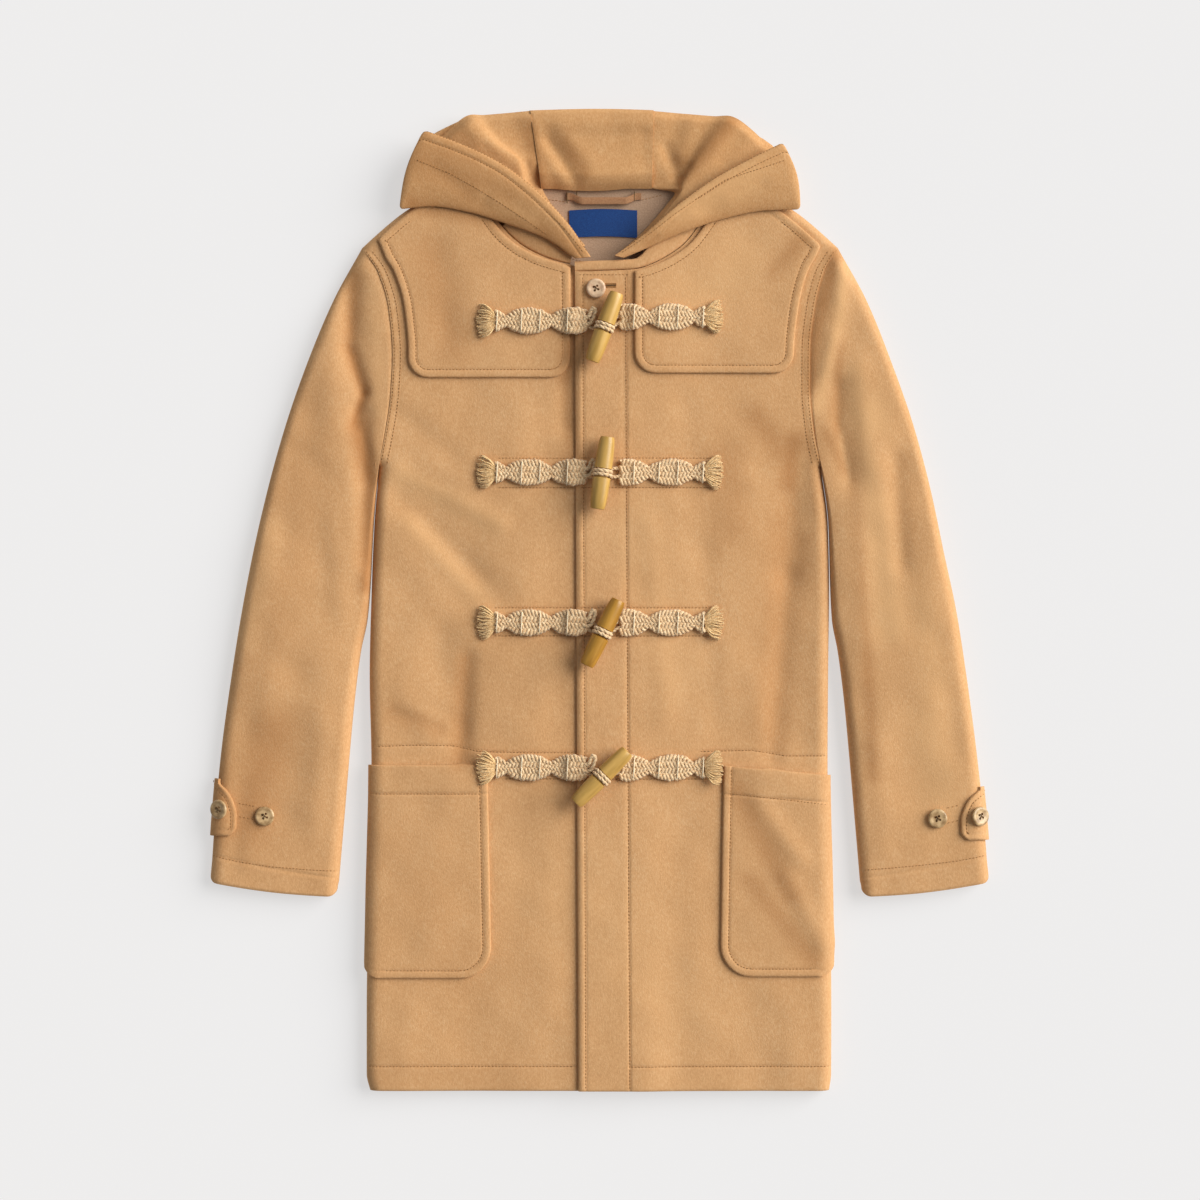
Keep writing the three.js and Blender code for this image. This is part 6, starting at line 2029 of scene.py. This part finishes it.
@dataclass
class Sewing:
    """All the visible stitches of the coat, laid along lines on the cloth's own faces."""

    parts: Parts
    pitch: float = 2.7
    length: float = 1.9
    width: float = 0.62
    lift: float = 0.16
    look: float = 1.4

    def along(self, line: Sequence[tuple[float, float]], grid: Array) -> None:
        """Lays stitches along a line of the plan.

        Args:
            line: The line's points.
            grid: The outer face that the line lies on.
        """
        points = np.array(line, dtype=float)
        run = np.concatenate(([0], np.cumsum(np.linalg.norm(np.diff(points, axis=0), axis=1))))
        count = max(1, int(run[-1] / self.pitch))
        at = (np.arange(count) + 0.5) * run[-1] / count
        before, here, after = (np.stack([np.interp(at + by, run, points[:, k]) for k in (0, 1)], axis=-1)
                               for by in (-0.6, 0.0, 0.6))
        ahead = unit(after - before)
        z = self.heights(grid, *here.T)
        rise = self.heights(grid, *(here + ahead * self.look).T) - z
        forward = unit(np.column_stack((ahead, rise / self.look)))
        beside = unit(np.cross(UP, forward))
        axes = np.stack((forward, beside, np.cross(forward, beside)), axis=1)
        base, faces = stitch(self.length, self.width)
        self.parts += [(base @ axes[k] + np.array((*here[k], z[k] + self.lift)), faces) for k in range(count)]

    @staticmethod
    def heights(grid: Array, x: Array, y: Array) -> Array:
        """Heights of a face at places, from its nearest points."""
        flat = grid.reshape(-1, 3)
        out = np.empty(len(x))
        for k, (px, py) in enumerate(zip(x, y)):
            away = (flat[:, 0] - px) ** 2 + (flat[:, 1] - py) ** 2
            near = np.argpartition(away, 4)[:4]
            weight = 1 / (away[near] + 0.02)
            out[k] = float((flat[near, 2] * weight).sum() / weight.sum())
        return out

    def build(self, name: str, kind: Finish) -> None:
        """Makes one piece of all the stitches."""
        declare_rigid(make_piece(name, *joined(self.parts), finish(kind), 80), "melton")


@dataclass(frozen=True)
class Studio:
    """A plain pale floor lit from below, soft light from the upper right and a camera straight above."""

    view_width: float = 0.96
    lens: float = 100.0
    sensor: float = 36.0
    height: float = 0.012

    def build(self) -> None:
        """Makes the floor, the lights and the camera."""
        scene = bpy.context.scene
        scene.view_settings.view_transform = "Standard"
        scene.view_settings.look = "None"
        bpy.ops.object.select_all(action="DESELECT")
        bpy.ops.mesh.primitive_plane_add(size=14, location=(0, 0, -0.0003))
        floor = bpy.context.active_object
        floor.name = "floor"
        material, tree, shader = new_material("backlit_paper_sweep")
        plug(tree, shader, {"Base Color": srgb("#8E8E90"), "Emission Color": srgb("#FFFEFD"),
                            "Emission Strength": 0.585, "Roughness": 0.95, "Specular IOR Level": 0.1})
        floor.data.materials.append(material)
        world = bpy.data.worlds.new("soft_daylight")
        world.use_nodes = True
        plug(world.node_tree, world.node_tree.nodes["Background"], {"Color": srgb("#F6F8FB"), "Strength": 0.28})
        scene.world = world
        key = bpy.data.lights.new("key", "SUN")
        key.energy = 4.4
        key.angle = math.radians(50)
        key.color = srgb("#FFFCF7")[:3]
        lamp = bpy.data.objects.new("key", key)
        lamp.rotation_euler = (math.radians(58), 0, math.radians(112))
        bpy.context.collection.objects.link(lamp)
        camera_data = bpy.data.cameras.new("overhead")
        camera_data.lens = self.lens
        camera_data.sensor_width = self.sensor
        camera = bpy.data.objects.new("overhead", camera_data)
        camera.location = (ORIGIN[0], ORIGIN[1], self.height + self.view_width * self.lens / self.sensor)
        bpy.context.collection.objects.link(camera)
        scene.camera = camera


def edge_walk(grid: Array, up_last: bool) -> Array:
    """The plan of a grid's edges: down its first column, along its first row and, if asked, up its last."""
    edges = [grid[::-1, 0, :2], grid[0, 1:-1, :2]]
    if up_last:
        edges.append(grid[:, -1, :2])
    return np.concatenate(edges)


def inset_line(line: Array, distance: float) -> Array:
    """A line moved sideways, to the left of its own direction."""
    ahead = unit(np.gradient(line, axis=0))
    return line + np.stack((-ahead[:, 1], ahead[:, 0]), axis=-1) * distance


FASTENINGS = (
    Fastening(1, 3.6, 217, 20, 222.6, 225.6, "ochre"),
    Fastening(2, 2, 101, 8, 101.9, 101.9, "ochre"),
    Fastening(3, 2, -26, 26, -18, -18, "amber"),
    Fastening(4, 1.3, -140.7, 45, -133.8, -133.8, "ochre"),
)
BUTTONS = (
    Button("button_neck", -3.2, 248.6, LAP + 1, 0, Finish.BUTTON_PALE),
    Button("button_cuff_left", -267.8, -172.6, 1.2, 0, Finish.BUTTON),
    Button("button_cuff_right", 269.6, -174.4, 1.2, 0, Finish.BUTTON),
    Button("button_tab_left", -303.6, -167.1, 2.6, -0.5, Finish.BUTTON),
    Button("button_tab_right", 302.8, -172.6, 2.6, 0.5, Finish.BUTTON),
)


# The sewn lines that are given one by one, each with the face that it lies on.
SEWN_LINES = (
    ("front_right", ((PLACKET_X, HEM_Y + 2), (PLACKET_X - 2.4, 258))),
    ("front_right", ((FACING_X, HEM_Y + 2), (FACING_X - FACING_LEAN, 258))),
    ("front_right", across(259.6, -17, 23)),
    ("pocket_left", across(-154.8, -95, -182)),
    ("pocket_right", ((103, -154.4), (140, -158.4), (181, -163.4))),
    ("sleeve_left", ((-310.2, -204.3), (-290, -209), (-263.7, -213), (-235, -215.4), (-211, -216.7))),
    ("sleeve_right", ((211, -215.8), (230, -214.4), (256.3, -212), (285, -208.6), (307.8, -204.3))),
    ("sleeve_left", ((-289, -162.4), (-275.6, -164.8))),
    ("sleeve_left", ((-289, -173), (-276, -175.6))),
    ("sleeve_right", ((287, -164), (276.6, -166.4))),
    ("sleeve_right", ((287, -176), (277, -178.4))),
    ("hood_brim_left", ((-146, 350), (-120, 339.6), (-97.4, 327), (-78, 315), (-60.4, 303.4), (-42, 291))),
    ("hood_brim_right", ((147.2, 349.6), (100, 334), (75.4, 318))),
    ("neck_lining", ((-44.4, 321.6), (-28, 319.5))),
    ("neck_lining", ((33, 320.7), (50, 325))),
)


def sew(faces: dict[str, Array]) -> None:
    """Lays every visible line of topstitching.

    Args:
        faces: The outer faces of the cloth pieces by name.
    """
    sewing = Sewing([])
    for side, stop in ((Side.LEFT, -21.6), (Side.RIGHT, 184.0)):
        face = faces[f"front_{side.word}"]
        start = -185.0 if side is Side.LEFT else FACING_X + 0.6
        sewing.along(across(HEM_STITCH_Y, start, stop), face)
        sewing.along(POCKET_LINE[side], face)
        rows = np.linspace(ARMPIT_Y + 3, TIP_Y - 3, 60)
        for inset in (1.5, STITCH_IN):
            sewing.along(np.stack((side.value * (reach(side, rows) - inset), rows), axis=-1), face)
        rows = np.linspace(264.4, 296, 40)
        sewing.along(inset_line(np.stack((side.value * NECK_SEAM[side](rows), rows), axis=-1), -5.0), face)
    for y, x1, x2 in BRAID_LINES:
        sewing.along(across(y, x1, -21.8), faces["front_left"])
        sewing.along(across(y, -15.6, x2), faces["front_right"])
    for side in Side:
        yoke, pocket, tab = (faces[f"{name}_{side.word}"] for name in ("yoke", "pocket", "cuff_tab"))
        sewing.along(inset_line(edge_walk(yoke, True), STITCH_IN * side.value)[6:-6], yoke)
        sewing.along(inset_line(edge_walk(pocket, False), STITCH_IN * side.value)[4:-3], pocket)
        sewing.along(inset_line(tab[2:-2, -1, :2], -CuffTab.band * side.value), tab)
        brim = faces[f"hood_brim_{side.word}"]
        for column in (-9, -2):
            sewing.along(brim[3:-3, column, :2], brim)
    for name, line in SEWN_LINES:
        face = faces[name]
        sewing.along(line, face[:, :face.shape[1] // 2] if name.startswith("sleeve") else face)
    sewing.build("topstitching_thread", Finish.THREAD)


def bar(x1: float, y1: float, x2: float, y2: float, grid: Array, radius: float) -> Shape:
    """A short bar of closely wound thread on a face.

    Args:
        x1: Its first end.
        y1: Its first end.
        x2: Its second end.
        y2: Its second end.
        grid: The face that it lies on.
        radius: Half its width.

    Returns:
        Its points and faces.
    """
    x, y = np.linspace(x1, x2, 7), np.linspace(y1, y2, 7)
    return tube(np.stack((x, y, Sewing.heights(grid, x, y) + radius * 0.5), axis=-1), radius, 6)


def sew_details(faces: dict[str, Array]) -> None:
    """Makes the buttonhole, whose slit is a dark bar of painted shade, three dark bars across the hanging loop
    and a thin line of painted shade along the hood's left seam.

    Args:
        faces: The outer faces of the cloth pieces by name.
    """
    front, lifted = faces["front_right"], faces["neck_lining"] + UP * 1.9
    # The bar along the buttonhole is the slit's painted shade, and the tube along the hood centre's left edge
    # is a painted shadow line along the seam.
    dark = [bar(4.6, 251, 13, 251.2, front, 0.5), tube(faces["hood_centre"][:, 0], 0.24, 6)]
    dark += [bar(x, low, x, 327.5, lifted, 0.45) for x, low in ((-26.4, 318), (-18.6, 320), (27.6, 320))]
    Sewing(dark).build("buttonhole_and_bar_tacks", Finish.SHADE)
    edges = [bar(float(x), 251.1 + way * 0.5, float(x), 251.1 + way * 1.8, front, 0.32)
             for x in np.arange(4.6, 13.2, 0.9) for way in (-1, 1)]
    Sewing(edges).build("buttonhole_stitches", Finish.THREAD)


def panels() -> tuple[Panel, ...]:
    """Every panel of melton, from the back up."""
    on_right = ("front_right_melton",)
    pockets = (
        Pocket(Side.LEFT, -131.8, -302.4, 89.8, 86.4, 0.0, 1.4, folds(((-120, -150, -140, -280, 14, 0.5),))),
        Pocket(Side.RIGHT, -132.0, -301.0, 98.6, 95.8, -8.0, 3.2,
               folds(((128, -160, 160, -204, 10, 2.0), (150, -218, 178, -272, 9, 1.6))),
               cut=Cut(112, 178, on_right)))
    bands = (
        NeckBand(Side.LEFT, (24.0, 268.2),
                 ((262, 0, 0), (268.2, 0, 0), (274, 5, 1.8), (284, 8, 3.1), (300, 3, 3.1))),
        NeckBand(Side.RIGHT, (-20.0, NECK_Y),
                 ((262, 0, 0), (264, 0, 0), (268, 4, 1), (274, 8, 2), (284, 10, 2.4), (300, 6, 2)),
                 cut=Cut(130, 20, on_right)))
    return (
        BackPanel(), *front_panels(), Sleeve(Side.LEFT), Sleeve(Side.RIGHT),
        Yoke(Side.LEFT, 23.5, 177.6, 7.0), Yoke(Side.RIGHT, 27.6, 181.0, 13.0, cut=Cut(160, 148, on_right)),
        *pockets, CuffTab(Side.LEFT, -143.0, -188.5, 290.0),
        CuffTab(Side.RIGHT, -149.5, -192.0, 287.8, cut=Cut(30, 46, ("sleeve_right_melton",))), *bands,
        HoodFolds(), HoodCentre(), *(kind(side) for side in Side for kind in (HoodSide, HoodBrim)),
    )


def main() -> None:
    """Makes the whole coat, piece by piece."""
    logging.basicConfig(level=logging.INFO, format="%(message)s")
    Studio().build()
    faces = {panel.node: panel.build() for panel in panels()}
    faces["neck_lining"] = NeckInside().build()
    threads: Parts = []
    for button in BUTTONS:
        threads += button.build()
    bars: Parts = []
    for fastening in FASTENINGS:
        bars += fastening.build()
    Sewing(bars).build("braid_stitch_bars", Finish.THREAD_CREAM)
    Sewing(threads).build("button_threads", Finish.SHADE)
    sew(faces)
    sew_details(faces)


if __name__ == "__main__":
    main()
